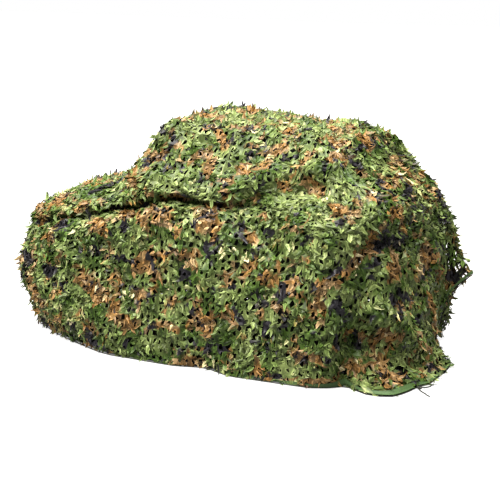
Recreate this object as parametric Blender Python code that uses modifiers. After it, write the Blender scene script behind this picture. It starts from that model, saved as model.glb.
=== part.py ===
"""Camouflage netting: one net, draped as a hollow cover that reaches the floor.

Metres, +Z up. +X runs along the length from the low front to the tall rear, -Y is the near side,
and the origin is on the floor under the middle of the net. The sheet is a top strip, from the low
front lip over a ramp to the top's rear edge, and a skirt that falls from the strip's edge all
round. The skirt is a loft through ribs: a row of RIBS gives the points of one rib on its way
down. FOLDS and WAVES then make it uneven. A cord edges the hem, and is tied at one corner.
"""

import bmesh
import bpy
import numpy as np

# Driving sizes.
NET_THICKNESS = 0.003
CORD_RADIUS = 0.004
CORD_GAP = 0.0014
EDGE_SIDES = 1
TIE_SIDES = 2
NET_COLOUR = (0.16, 0.21, 0.07)
CORD_COLOUR = (0.03, 0.04, 0.03)
TIE_COLOUR = (0.02, 0.02, 0.02)
TIE_RADIUS = 0.005
FOOT_HEIGHT = 0.12
SHOULDER_OUT = 0.26
SHOULDER_START = 0.01
SHOULDER_DOWN = 0.30
LIP_SHARE = 0.07
CROWN_POWER = 2.5
HOLE_PULL = 0.16
HOLE_EVERY = 3
FLOOR_CALM = 0.8
CORD_DROP = CORD_RADIUS + CORD_GAP + NET_THICKNESS / 2
HEM_REST = CORD_RADIUS + CORD_DROP
TO_MIDDLE = np.array([0.041, 0.025, 0.0])

# Sections of the top strip.
TOP = (
    # x, height, half width, crown
    (-1.76, 1.12, 0.56, 0.05),
    (-1.50, 1.24, 0.61, 0.06),
    (-1.18, 1.33, 0.63, 0.07),
    (-0.90, 1.41, 0.62, 0.07),
    (-0.66, 1.63, 0.59, 0.06),
    (-0.46, 1.87, 0.56, 0.03),
    (-0.32, 1.93, 0.55, 0.03),
    (0.00, 1.91, 0.53, 0.05),
    (0.45, 1.89, 0.52, 0.06),
    (0.85, 1.88, 0.52, 0.05),
    (1.10, 1.82, 0.52, 0.05),
)

# The skirt's zones in order around the strip, and the grid columns of each.
ZONES = (
    # name, columns
    ("near", 29),
    ("near rear", 13),
    ("rear", 9),
    ("far rear", 8),
    ("far", 29),
    ("far front", 6),
    ("front", 9),
    ("near front", 6),
)

# Ribs of the skirt. A rib starts on the strip's edge at a place: x on the near and far sides, y
# at the rear and front, and a share of the turn at a corner. It heads away from the strip at an
# angle from +X, in degrees. Each "out" is a distance from the edge along that heading.
RIBS = (
    # zone, place, heading, belt out, z, tuck out, z, belly out, z, foot out, hem out, z
    ("near", -1.76, -95, 0.10, 0.98, 0.09, 0.93, 0.21, 0.54, 0.11, 0.03, 0.0),
    ("near", -1.45, -90, 0.17, 1.06, 0.12, 1.015, 0.29, 0.56, 0.22, 0.15, 0.0),
    ("near", -1.10, -90, 0.22, 1.14, 0.15, 1.095, 0.35, 0.60, 0.34, 0.28, 0.0),
    ("near", -0.60, -90, 0.28, 1.26, 0.20, 1.215, 0.42, 0.65, 0.46, 0.45, 0.0),
    ("near", -0.10, -90, 0.32, 1.37, 0.23, 1.325, 0.46, 0.70, 0.48, 0.47, 0.0),
    ("near", 0.17, -90, 0.31, 1.35, 0.23, 1.305, 0.45, 0.70, 0.43, 0.40, 0.0),
    ("near", 0.45, -90, 0.29, 1.38, 0.25, 1.325, 0.45, 0.70, 0.47, 0.48, 0.0),
    ("near", 0.65, -90, 0.27, 1.43, 0.30, 1.32, 0.45, 0.68, 0.45, 0.46, 0.0),
    ("near", 0.85, -90, 0.27, 1.43, 0.36, 1.26, 0.45, 0.65, 0.43, 0.44, 0.0),
    ("near", 1.10, -88, 0.30, 1.42, 0.41, 1.22, 0.44, 0.60, 0.41, 0.41, 0.0),
    ("near rear", 0.18, -66, 0.41, 1.36, 0.51, 1.18, 0.49, 0.60, 0.40, 0.36, 0.0),
    ("near rear", 0.35, -46, 0.45, 1.33, 0.53, 1.16, 0.44, 0.62, 0.32, 0.33, 0.0),
    ("near rear", 0.48, -34, 0.46, 1.33, 0.46, 1.10, 0.43, 0.62, 0.41, 0.58, 0.0),
    ("near rear", 0.64, -20, 0.48, 1.32, 0.46, 1.08, 0.50, 0.65, 0.57, 0.70, 0.0),
    ("near rear", 0.85, 1, 0.49, 1.30, 0.47, 1.05, 0.55, 0.62, 0.62, 0.71, 0.0),
    ("rear", -0.52, 10, 0.50, 1.26, 0.49, 1.00, 0.58, 0.55, 0.65, 0.77, 0.0),
    ("rear", -0.26, 10, 0.48, 1.27, 0.54, 1.00, 0.58, 0.55, 0.64, 0.76, 0.0),
    ("rear", 0.00, 9, 0.48, 1.26, 0.53, 1.00, 0.55, 0.50, 0.60, 0.73, 0.0),
    ("rear", 0.16, 8, 0.47, 1.25, 0.52, 1.00, 0.52, 0.49, 0.54, 0.67, 0.0),
    ("rear", 0.30, 8, 0.45, 1.24, 0.51, 1.00, 0.49, 0.52, 0.47, 0.47, 0.05),
    ("rear", 0.52, 11, 0.43, 1.22, 0.50, 1.00, 0.48, 0.72, 0.46, 0.45, 0.36),
    ("far rear", 0.25, 15, 0.42, 1.24, 0.51, 1.06, 0.57, 0.88, 0.62, 0.68, 0.64),
    ("far rear", 0.45, 23, 0.42, 1.24, 0.50, 1.06, 0.52, 0.75, 0.49, 0.46, 0.36),
    ("far rear", 0.65, 37, 0.41, 1.24, 0.47, 1.04, 0.46, 0.55, 0.49, 0.39, 0.0),
    ("far", 1.10, 88, 0.27, 1.36, 0.33, 1.20, 0.41, 0.60, 0.40, 0.37, 0.0),
    ("far", 0.70, 90, 0.27, 1.40, 0.32, 1.20, 0.42, 0.62, 0.40, 0.43, 0.0),
    ("far", 0.30, 90, 0.26, 1.38, 0.30, 1.22, 0.41, 0.66, 0.42, 0.36, 0.0),
    ("far", -0.15, 90, 0.26, 1.36, 0.27, 1.22, 0.42, 0.65, 0.44, 0.45, 0.0),
    ("far", -0.70, 90, 0.23, 1.25, 0.20, 1.14, 0.37, 0.60, 0.38, 0.34, 0.0),
    ("far", -1.25, 90, 0.17, 1.12, 0.15, 1.02, 0.30, 0.55, 0.27, 0.28, 0.0),
    ("far", -1.76, 95, 0.10, 1.02, 0.13, 0.90, 0.23, 0.52, 0.17, 0.12, 0.0),
    ("far front", 0.50, 135, 0.11, 1.01, 0.13, 0.88, 0.23, 0.50, 0.13, 0.06, 0.0),
    ("front", 0.56, 172, 0.07, 1.00, 0.10, 0.88, 0.17, 0.52, 0.06, -0.03, 0.0),
    ("front", 0.15, 180, 0.08, 1.01, 0.12, 0.90, 0.20, 0.54, 0.07, -0.02, 0.0),
    ("front", -0.20, 180, 0.06, 0.99, 0.09, 0.87, 0.16, 0.50, 0.03, -0.09, 0.0),
    ("front", -0.56, 190, 0.05, 0.97, 0.08, 0.87, 0.16, 0.53, 0.00, -0.13, 0.0),
    ("near front", 0.50, 225, 0.06, 0.97, 0.08, 0.87, 0.17, 0.54, 0.00, -0.10, 0.0),
)

# Rings down the skirt: strip edge, shoulder, belt, tuck, lip, belly, foot and hem. The lip is where
# the sheet comes out again under a tuck. Then the grid's rows, as rings.
RIB_RINGS = np.array([0, 1, 2, 3, 3.12, 4, 5, 6])
RINGS = (0, 0.5, 1, 1.5, 2, 2.5, 3, 3.12, 3.35, 3.6, 3.8, 4, 4.25, 4.5, 4.75, 5, 5.5, 6)
HEM = RINGS[-1]
BELT = 2

# Soft ridges and troughs of the skirt. Each is a curve from a start to an end, pulled towards a
# middle. A place around the skirt is a zone's number plus the share of the way through it.
FOLDS = (
    # name, start place, ring, middle place, ring, end place, ring, width, depth
    ("ridge up to the rear corner", 0.76, 1.80, 0.88, 1.15, 1.20, 0.95, 0.07, 0.055),
    ("band under the ridge", 0.74, 2.35, 0.90, 1.70, 1.34, 1.48, 0.08, -0.070),
    ("shelf at the rear corner", 0.92, 2.55, 1.12, 2.20, 1.32, 2.30, 0.09, 0.045),
    ("corner hollow", 1.38, 3.00, 1.60, 2.60, 1.95, 3.20, 0.14, -0.050),
    ("near shoulder", 0.12, 3.25, 0.40, 3.22, 0.72, 3.25, 0.12, 0.030),
    ("flap's ridge", 1.50, 3.85, 1.65, 4.08, 2.45, 5.00, 0.08, 0.080),
    ("flap's hollow", 1.36, 4.34, 1.60, 4.48, 1.84, 5.05, 0.10, -0.120),
    ("ramp's foot", 0.34, 0.60, 0.37, 1.20, 0.34, 1.90, 0.10, -0.025),
    ("near pull", 0.12, 2.60, 0.24, 3.60, 0.22, 5.20, 0.11, 0.020),
    ("near sag", 0.44, 3.20, 0.52, 4.00, 0.56, 5.40, 0.14, -0.025),
    ("near pleat", 0.70, 3.40, 0.70, 4.20, 0.74, 5.60, 0.09, 0.020),
    ("rear swag", 2.10, 2.20, 2.45, 3.40, 2.95, 2.10, 0.12, -0.030),
    ("rear pleat", 2.62, 2.60, 2.58, 4.00, 2.66, 5.60, 0.09, 0.035),
    ("far swag", 4.10, 2.40, 4.40, 3.60, 4.70, 2.60, 0.13, -0.035),
    ("far pleat", 4.30, 3.20, 4.33, 4.20, 4.30, 5.60, 0.10, 0.035),
    ("far front pleat", 4.78, 2.80, 4.74, 4.00, 4.80, 5.50, 0.10, 0.030),
    ("far front ear", 5.50, 2.20, 5.50, 3.60, 5.50, 5.20, 0.09, 0.035),
    ("front swag", 6.10, 2.60, 6.50, 4.10, 6.92, 2.50, 0.11, -0.030),
    ("near front pleat", 7.60, 2.60, 7.64, 3.80, 7.56, 5.00, 0.09, 0.020),
)
FOLD_SAMPLES = 25

# Unevenness, as a sum of waves through space.
WAVES = (
    # height, wavelengths along x, y and z, phase
    (0.009, 0.62, 0.90, 0.75, 0.4),
    (0.008, -0.41, 0.55, 0.63, 2.1),
    (0.006, 0.33, -0.47, 0.38, 4.0),
)

# The corner tie: a wound knot just past the hem, and two free ends that leave it between its
# loops. Each end's points are measured from the knot's centre, and rest on the floor at the end.
TIE_PLACE = 1.85
KNOT_OUT = 0.0270
KNOT_HEADING = -12
KNOT_SCALE = 0.006
KNOT_RADIUS = 0.0048
KNOT_POINTS = 48
KNOT_HEIGHT = KNOT_SCALE + KNOT_RADIUS
TIE_ENDS = (
    # name, points from the knot's centre
    ("tie_end_long", ((0.0072, -0.0223, 0.0), (0.026, -0.043, -0.003), (0.056, -0.066, -0.0058),
                      (0.086, -0.086, -0.0058), (0.114, -0.112, -0.0058), (0.142, -0.130, -0.0058))),
    ("tie_end_short", ((0.0157, 0.0174, 0.0), (0.031, 0.038, -0.004), (0.042, 0.062, -0.0058),
                       (0.052, 0.088, -0.0058), (0.050, 0.116, -0.0058), (0.058, 0.142, -0.0058))),
)
END_POINTS = 16


def blend(share, span, first, last, first_slope, last_slope):
    """A cubic from first to last with given slopes at both ends."""
    square, cube = share**2, share**3
    return (
        (2 * cube - 3 * square + 1) * first
        + (cube - 2 * square + share) * span * first_slope
        + (3 * square - 2 * cube) * last
        + (cube - square) * span * last_slope
    )


def smooth(knots, rows, at):
    """Read a smooth curve through rows at rising knots: a cubic between each two. Its slope at a
    row is the harmonic mean of the chords beside it, and level at a peak, so it never overshoots."""
    chords = np.diff(rows, axis=0) / np.diff(knots)[:, None]
    product = np.maximum(chords[:-1] * chords[1:], 0)
    inner = 2 * product / np.where(product > 0, chords[:-1] + chords[1:], 1)
    slopes = np.vstack([chords[:1], inner, chords[-1:]])
    cell = np.clip(np.searchsorted(knots, at) - 1, 0, len(knots) - 2)
    span = (knots[cell + 1] - knots[cell])[:, None]
    share = (at - knots[cell])[:, None] / span
    return blend(share, span, rows[cell], rows[cell + 1], slopes[cell], slopes[cell + 1])


TOP_X, TOP_SECTIONS = np.array(TOP)[:, 0], np.array(TOP)[:, 1:]
FRONT_X, REAR_X = TOP_X[0], TOP_X[-1]
FRONT_HALF, REAR_HALF = TOP_SECTIONS[0, 1], TOP_SECTIONS[-1, 1]


def place_around(zone, place):
    """A rib's place around the skirt: its zone's number plus the share of the way through it."""
    ends = {
        "near": (FRONT_X, REAR_X),
        "rear": (-REAR_HALF, REAR_HALF),
        "far": (REAR_X, FRONT_X),
        "front": (FRONT_HALF, -FRONT_HALF),
    }
    start, end = ends.get(zone, (0, 1))
    number = [name for name, columns in ZONES].index(zone)
    return number + (place - start) / (end - start)


def rib_table():
    """The ribs as rows of place, heading, outs and heights. A few are repeated a lap before the
    start and a lap after the end, so that the closed skirt stays smooth there."""
    rows = np.array([(place_around(rib[0], rib[1]), *rib[2:]) for rib in RIBS])
    lap = np.zeros(rows.shape[1])
    lap[:2] = len(ZONES), 360
    return np.vstack([rows[-3:] - lap, rows, rows[:3] + lap])


RIB_PLACES, RIB_ROWS = rib_table()[:, 0], rib_table()[:, 1:]


def outwards(angle):
    """The level unit vector at an angle from +X in degrees."""
    turn = np.radians(angle)
    return np.stack([np.cos(turn), np.sin(turn), 0 * turn], -1)


def strip(x, across):
    """The plain top strip. across goes from -1 to 1 between its edges, lower by the crown."""
    height, half, crown = smooth(TOP_X, TOP_SECTIONS, x).T
    return np.stack([x, across * half, height - crown * np.abs(across) ** CROWN_POWER], -1)


def strip_edge(around):
    """The point of the strip's edge where the rib at a place around starts."""
    zone_ends = np.arange(len(ZONES) + 1)
    x = np.interp(around, zone_ends, np.array([0, 1, 1, 1, 1, 0, 0, 0, 0]))
    across = np.interp(around, zone_ends, np.array([-1, -1, -1, 1, 1, 1, 1, -1, -1]))
    return strip(FRONT_X + (REAR_X - FRONT_X) * x, across)


def skirt(around, ring):
    """The plain skirt. Each rib is a smooth curve through its eight points, and its slope at a
    point is the mean of the chords there, weighted towards the shorter one. The lip is a share of
    the way from tuck to belly, and as far out again as the belt stands over the tuck."""
    edge = strip_edge(around)
    row = smooth(RIB_PLACES, RIB_ROWS, around)
    heading = outwards(row[:, 0])
    belt_out, belt_z, tuck_out, tuck_z, belly_out, belly_z, foot_out, hem_out, hem_z = row[:, 1:].T

    def point(out, z):
        spot = edge + heading * out[:, None]
        spot[:, 2] = z
        return spot

    shoulder_z = edge[:, 2] - SHOULDER_DOWN * (edge[:, 2] - belt_z)
    lip_out = tuck_out + LIP_SHARE * (belly_out - tuck_out) + np.maximum(belt_out - tuck_out, 0)
    points = np.stack([
        edge,
        point(SHOULDER_START + SHOULDER_OUT * belt_out, shoulder_z),
        point(belt_out, belt_z),
        point(tuck_out, tuck_z),
        point(lip_out, tuck_z + LIP_SHARE * (belly_z - tuck_z)),
        point(belly_out, belly_z),
        point(foot_out, hem_z + FOOT_HEIGHT),
        point(hem_out, hem_z),
    ], 1)
    steps = np.linalg.norm(np.diff(points, axis=1), axis=2)[:, :, None]
    chords = np.diff(points, axis=1) / steps
    before, after = steps[:, :-1], steps[:, 1:]
    inner = (chords[:, :-1] * after + chords[:, 1:] * before) / (before + after)
    slopes = np.concatenate([chords[:, :1], inner, chords[:, -1:]], 1)
    each = np.arange(len(ring))
    cell = np.clip(np.searchsorted(RIB_RINGS, ring, side="right") - 1, 0, len(RIB_RINGS) - 2)
    share = ((ring - RIB_RINGS[cell]) / np.diff(RIB_RINGS)[cell])[:, None]
    return blend(share, steps[each, cell], points[each, cell], points[each, cell + 1],
                 slopes[each, cell], slopes[each, cell + 1])


def lift(spots):
    """How far the folds and waves lift the sheet at points of the plain drape. A fold's lift
    dies away as a bell curve from its line, and towards the line's ends."""
    height = np.zeros(len(spots))
    for top, along, across, up, phase in WAVES:
        turns = spots[:, 0] / along + spots[:, 1] / across + spots[:, 2] / up
        height += top * np.sin(2 * np.pi * turns + phase)
    share = np.linspace(0, 1, FOLD_SAMPLES)
    weights = np.stack([(1 - share) ** 2, 2 * share * (1 - share), share**2])
    for name, start, start_ring, middle, middle_ring, end, end_ring, width, depth in FOLDS:
        places = np.array([start, middle, end]) @ weights
        rings = np.array([start_ring, middle_ring, end_ring]) @ weights
        away = np.linalg.norm(spots[:, None] - skirt(places, rings)[None], axis=2)
        nearest = share[away.argmin(1)]
        height += depth * np.sin(np.pi * (0.1 + 0.8 * nearest)) * np.exp(-((away.min(1) / width) ** 2))
    return height


def settle(spots):
    """Move points over the origin, and none lower than the hem's rest on its cord."""
    spots = spots + TO_MIDDLE
    spots[:, 2] = np.maximum(spots[:, 2], HEM_REST)
    return spots


def top_points(x, across):
    """The finished top strip, its folds standing straight up."""
    spots = strip(x, across)
    spots[:, 2] += lift(spots)
    return settle(spots)


def skirt_points(around, ring):
    """The finished skirt. Folds stand up at the strip's edge, turn level by the belt, and die
    away at the hem."""
    spots = skirt(around, ring)
    level = np.clip(ring / BELT, 0, 1)[:, None]
    heading = outwards(smooth(RIB_PLACES, RIB_ROWS[:, :1], around)[:, 0])
    way = heading * level + np.array([0, 0, 1]) * (1 - level)
    way /= np.linalg.norm(way, axis=1, keepdims=True)
    calm = np.clip((HEM - ring) / FLOOR_CALM, 0, 1)
    return settle(spots + way * (lift(spots) * calm)[:, None])


def columns_around():
    """The places around the skirt of the grid's columns."""
    return np.concatenate([
        number + np.arange(columns) / columns for number, (name, columns) in enumerate(ZONES)
    ])


def add_object(name, data, colour, roughness):
    """An object with its own material, in the netting's collection."""
    thing = bpy.data.objects.new(name, data)
    netting.objects.link(thing)
    material = bpy.data.materials.new(name)
    material.use_nodes = True
    finish = material.node_tree.nodes["Principled BSDF"]
    finish.inputs["Base Color"].default_value = (*colour, 1)
    finish.inputs["Roughness"].default_value = roughness
    finish.inputs["Metallic"].default_value = 0
    data.materials.append(material)
    return thing


def add_grid(shell, points, rows, closed, is_hole):
    """Faces between the points of a grid with so many rows a column. The cells that is_hole
    picks are left open, and returned as their corners."""
    columns = len(points) // rows
    verts = [shell.verts.new(spot) for spot in points]
    holes = []
    for column in range(columns if closed else columns - 1):
        here, there = column * rows, (column + 1) % columns * rows
        for row in range(rows - 1):
            corners = [verts[here + row], verts[here + row + 1], verts[there + row + 1], verts[there + row]]
            if is_hole(column, row):
                holes.append(corners)
            else:
                shell.faces.new(corners)
    return holes


def skirt_hole(column, row):
    """Every third cell of every other row is a gap, stepped along, clear of belt and hem."""
    return column % HOLE_EVERY == row // 2 % HOLE_EVERY and row % 2 == 1 and 1 < row < len(RINGS) - 3


def top_hole(column, row):
    """As on the skirt, clear of the strip's edges."""
    inside = 0 < column < ZONES[0][1] - 1
    return column % HOLE_EVERY == row // 2 % HOLE_EVERY and row % 2 == 1 and inside


def make_net():
    """The net: grids over the strip and the skirt, joined along the strip's edge, with the
    largest gaps cut through, then thickened."""
    shell = bmesh.new()
    x = np.linspace(FRONT_X, REAR_X, ZONES[0][1] + 1)
    across = np.linspace(1, -1, ZONES[2][1] + 1)
    cells = np.meshgrid(x, across, indexing="ij")
    holes = add_grid(shell, top_points(cells[0].ravel(), cells[1].ravel()), len(across), False, top_hole)
    cells = np.meshgrid(columns_around(), RINGS, indexing="ij")
    skirt_spots = skirt_points(cells[0].ravel(), cells[1].ravel())
    holes += add_grid(shell, skirt_spots, len(RINGS), True, skirt_hole)
    for corners in holes:
        middle = sum((corner.co for corner in corners), start=0 * corners[0].co) / len(corners)
        for corner in corners:
            corner.co = corner.co.lerp(middle, HOLE_PULL)
    bmesh.ops.remove_doubles(shell, verts=shell.verts, dist=0.0001)
    bmesh.ops.recalc_face_normals(shell, faces=shell.faces)
    mesh = bpy.data.meshes.new("net")
    shell.to_mesh(mesh)
    shell.free()
    net = add_object("net", mesh, NET_COLOUR, 0.8)
    wall = net.modifiers.new("thickness", "SOLIDIFY")
    wall.thickness = NET_THICKNESS
    wall.offset = 0


def add_cord(name, points, radius, closed, sides, colour):
    """A round cord along points, with filled ends unless it is closed."""
    curve = bpy.data.curves.new(name, "CURVE")
    curve.dimensions = "3D"
    curve.bevel_depth = radius
    curve.bevel_resolution = sides
    curve.use_fill_caps = not closed
    line = curve.splines.new("POLY")
    line.points.add(len(points) - 1)
    line.points.foreach_set("co", np.column_stack([points, np.ones(len(points))]).ravel())
    line.use_cyclic_u = closed
    return add_object(name, curve, colour, 0.9)


def make_edge_cord():
    """The cord along the whole hem, under it and square to its run."""
    around = columns_around()
    hem = skirt_points(around, np.full(len(around), float(HEM)))
    along = np.roll(hem, -1, axis=0) - np.roll(hem, 1, axis=0)
    along /= np.linalg.norm(along, axis=1, keepdims=True)
    down = along * along[:, 2:] - np.array([0, 0, 1])
    down /= np.linalg.norm(down, axis=1, keepdims=True)
    add_cord("edge_cord", hem + down * CORD_DROP, CORD_RADIUS, True, EDGE_SIDES, CORD_COLOUR)


def make_tie():
    """The corner tie. The knot is a trefoil, wound twice round while it rises and falls three
    times, with one loop towards the hem."""
    place = np.array([TIE_PLACE])
    corner = skirt_points(place, np.array([float(HEM)]))[0]
    centre = corner + outwards(np.array(KNOT_HEADING)) * KNOT_OUT
    centre[2] = KNOT_HEIGHT
    turn = np.linspace(0, 2 * np.pi, KNOT_POINTS, endpoint=False)
    reach = np.hypot(np.sin(turn) + 2 * np.sin(2 * turn), np.cos(turn) - 2 * np.cos(2 * turn))
    bearing = np.arctan2(np.cos(turn) - 2 * np.cos(2 * turn), np.sin(turn) + 2 * np.sin(2 * turn))
    bearing += np.radians(KNOT_HEADING - 90)
    knot = np.stack([reach * np.cos(bearing), reach * np.sin(bearing), -np.sin(3 * turn)], -1)
    add_cord("tie_knot", centre + KNOT_SCALE * knot, KNOT_RADIUS, True, TIE_SIDES, TIE_COLOUR)
    for name, points in TIE_ENDS:
        route = smooth(np.arange(len(points)), np.array(points), np.linspace(0, len(points) - 1, END_POINTS))
        add_cord(name, centre + route, TIE_RADIUS, False, TIE_SIDES, TIE_COLOUR)


for old in list(bpy.data.objects):
    bpy.data.objects.remove(old)
netting = bpy.data.collections.new("camouflage netting")
bpy.context.scene.collection.children.link(netting)

make_net()
make_edge_cord()
make_tie()
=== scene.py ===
"""Looks of the camouflage netting: leaf-cut garnish on a string mesh, hem tape, cords and a studio.

Metres, +Z up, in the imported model's frame. The dressing lies on the same drape as the solids: a top
strip and a skirt that falls from its edge all round, shaped by ribs, folds and waves. It is laid out
as an add-on and run as a script: each operator makes a group of like pieces.
"""

import bpy
import numpy as np
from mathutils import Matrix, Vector


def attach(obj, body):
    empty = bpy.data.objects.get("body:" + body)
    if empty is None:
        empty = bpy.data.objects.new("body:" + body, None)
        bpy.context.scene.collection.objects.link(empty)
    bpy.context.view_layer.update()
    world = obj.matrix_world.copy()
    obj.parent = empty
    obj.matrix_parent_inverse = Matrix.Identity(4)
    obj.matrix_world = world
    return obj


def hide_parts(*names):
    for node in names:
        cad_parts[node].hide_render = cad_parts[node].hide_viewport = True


bl_info = {
    "name": "Camouflage netting",
    "version": (1, 0, 0),
    "blender": (4, 5, 0),
    "location": "3D View > Sidebar > Netting",
    "description": "Dresses the packed netting with leaf-cut garnish, string mesh, hem tape and cords",
    "category": "Object",
}

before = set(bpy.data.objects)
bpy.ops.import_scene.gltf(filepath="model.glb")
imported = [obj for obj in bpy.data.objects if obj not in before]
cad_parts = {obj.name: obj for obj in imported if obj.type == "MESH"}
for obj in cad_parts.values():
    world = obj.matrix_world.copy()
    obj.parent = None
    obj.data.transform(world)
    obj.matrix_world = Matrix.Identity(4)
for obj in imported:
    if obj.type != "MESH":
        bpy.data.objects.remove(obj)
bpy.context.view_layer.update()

# Sizes shared with the solids.
HEM_REST = 0.0109
FLOOR_CALM = 0.8
SHOULDER_OUT = 0.26
SHOULDER_START = 0.01
SHOULDER_DOWN = 0.30
FOOT_HEIGHT = 0.12
LIP_SHARE = 0.07
CROWN_POWER = 2.5
TO_MIDDLE = np.array([0.041, 0.025, 0.0])

# Sections of the top strip.
TOP = (
    # x, height, half width, crown
    (-1.76, 1.12, 0.56, 0.05),
    (-1.50, 1.24, 0.61, 0.06),
    (-1.18, 1.33, 0.63, 0.07),
    (-0.90, 1.41, 0.62, 0.07),
    (-0.66, 1.63, 0.59, 0.06),
    (-0.46, 1.87, 0.56, 0.03),
    (-0.32, 1.93, 0.55, 0.03),
    (0.00, 1.91, 0.53, 0.05),
    (0.45, 1.89, 0.52, 0.06),
    (0.85, 1.88, 0.52, 0.05),
    (1.10, 1.82, 0.52, 0.05),
)

# The skirt's zones in order around the strip, and the grid columns of each.
ZONES = (
    # name, columns
    ("near", 29),
    ("near rear", 13),
    ("rear", 9),
    ("far rear", 8),
    ("far", 29),
    ("far front", 6),
    ("front", 9),
    ("near front", 6),
)

# Ribs of the skirt. A rib starts on the strip's edge at a place: x on the near and far sides, y
# at the rear and front, and a share of the turn at a corner. It heads away from the strip at an
# angle from +X, in degrees. Each "out" is a distance from the edge along that heading.
RIBS = (
    # zone, place, heading, belt out, z, tuck out, z, belly out, z, foot out, hem out, z
    ("near", -1.76, -95, 0.10, 0.98, 0.09, 0.93, 0.21, 0.54, 0.11, 0.03, 0.0),
    ("near", -1.45, -90, 0.17, 1.06, 0.12, 1.015, 0.29, 0.56, 0.22, 0.15, 0.0),
    ("near", -1.10, -90, 0.22, 1.14, 0.15, 1.095, 0.35, 0.60, 0.34, 0.28, 0.0),
    ("near", -0.60, -90, 0.28, 1.26, 0.20, 1.215, 0.42, 0.65, 0.46, 0.45, 0.0),
    ("near", -0.10, -90, 0.32, 1.37, 0.23, 1.325, 0.46, 0.70, 0.48, 0.47, 0.0),
    ("near", 0.17, -90, 0.31, 1.35, 0.23, 1.305, 0.45, 0.70, 0.43, 0.40, 0.0),
    ("near", 0.45, -90, 0.29, 1.38, 0.25, 1.325, 0.45, 0.70, 0.47, 0.48, 0.0),
    ("near", 0.65, -90, 0.27, 1.43, 0.30, 1.32, 0.45, 0.68, 0.45, 0.46, 0.0),
    ("near", 0.85, -90, 0.27, 1.43, 0.36, 1.26, 0.45, 0.65, 0.43, 0.44, 0.0),
    ("near", 1.10, -88, 0.30, 1.42, 0.41, 1.22, 0.44, 0.60, 0.41, 0.41, 0.0),
    ("near rear", 0.18, -66, 0.41, 1.36, 0.51, 1.18, 0.49, 0.60, 0.40, 0.36, 0.0),
    ("near rear", 0.35, -46, 0.45, 1.33, 0.53, 1.16, 0.44, 0.62, 0.32, 0.33, 0.0),
    ("near rear", 0.48, -34, 0.46, 1.33, 0.46, 1.10, 0.43, 0.62, 0.41, 0.58, 0.0),
    ("near rear", 0.64, -20, 0.48, 1.32, 0.46, 1.08, 0.50, 0.65, 0.57, 0.70, 0.0),
    ("near rear", 0.85, 1, 0.49, 1.30, 0.47, 1.05, 0.55, 0.62, 0.62, 0.71, 0.0),
    ("rear", -0.52, 10, 0.50, 1.26, 0.49, 1.00, 0.58, 0.55, 0.65, 0.77, 0.0),
    ("rear", -0.26, 10, 0.48, 1.27, 0.54, 1.00, 0.58, 0.55, 0.64, 0.76, 0.0),
    ("rear", 0.00, 9, 0.48, 1.26, 0.53, 1.00, 0.55, 0.50, 0.60, 0.73, 0.0),
    ("rear", 0.16, 8, 0.47, 1.25, 0.52, 1.00, 0.52, 0.49, 0.54, 0.67, 0.0),
    ("rear", 0.30, 8, 0.45, 1.24, 0.51, 1.00, 0.49, 0.52, 0.47, 0.47, 0.05),
    ("rear", 0.52, 11, 0.43, 1.22, 0.50, 1.00, 0.48, 0.72, 0.46, 0.45, 0.36),
    ("far rear", 0.25, 15, 0.42, 1.24, 0.51, 1.06, 0.57, 0.88, 0.62, 0.68, 0.64),
    ("far rear", 0.45, 23, 0.42, 1.24, 0.50, 1.06, 0.52, 0.75, 0.49, 0.46, 0.36),
    ("far rear", 0.65, 37, 0.41, 1.24, 0.47, 1.04, 0.46, 0.55, 0.49, 0.39, 0.0),
    ("far", 1.10, 88, 0.27, 1.36, 0.33, 1.20, 0.41, 0.60, 0.40, 0.37, 0.0),
    ("far", 0.70, 90, 0.27, 1.40, 0.32, 1.20, 0.42, 0.62, 0.40, 0.43, 0.0),
    ("far", 0.30, 90, 0.26, 1.38, 0.30, 1.22, 0.41, 0.66, 0.42, 0.36, 0.0),
    ("far", -0.15, 90, 0.26, 1.36, 0.27, 1.22, 0.42, 0.65, 0.44, 0.45, 0.0),
    ("far", -0.70, 90, 0.23, 1.25, 0.20, 1.14, 0.37, 0.60, 0.38, 0.34, 0.0),
    ("far", -1.25, 90, 0.17, 1.12, 0.15, 1.02, 0.30, 0.55, 0.27, 0.28, 0.0),
    ("far", -1.76, 95, 0.10, 1.02, 0.13, 0.90, 0.23, 0.52, 0.17, 0.12, 0.0),
    ("far front", 0.50, 135, 0.11, 1.01, 0.13, 0.88, 0.23, 0.50, 0.13, 0.06, 0.0),
    ("front", 0.56, 172, 0.07, 1.00, 0.10, 0.88, 0.17, 0.52, 0.06, -0.03, 0.0),
    ("front", 0.15, 180, 0.08, 1.01, 0.12, 0.90, 0.20, 0.54, 0.07, -0.02, 0.0),
    ("front", -0.20, 180, 0.06, 0.99, 0.09, 0.87, 0.16, 0.50, 0.03, -0.09, 0.0),
    ("front", -0.56, 190, 0.05, 0.97, 0.08, 0.87, 0.16, 0.53, 0.00, -0.13, 0.0),
    ("near front", 0.50, 225, 0.06, 0.97, 0.08, 0.87, 0.17, 0.54, 0.00, -0.10, 0.0),
)

# Rings down the skirt: strip edge, shoulder, belt, tuck, lip, belly, foot and hem. The lip is where
# the sheet comes out again under a tuck.
RIB_RINGS = np.array([0, 1, 2, 3, 3.12, 4, 5, 6])
HEM = 6
BELT = 2

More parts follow.
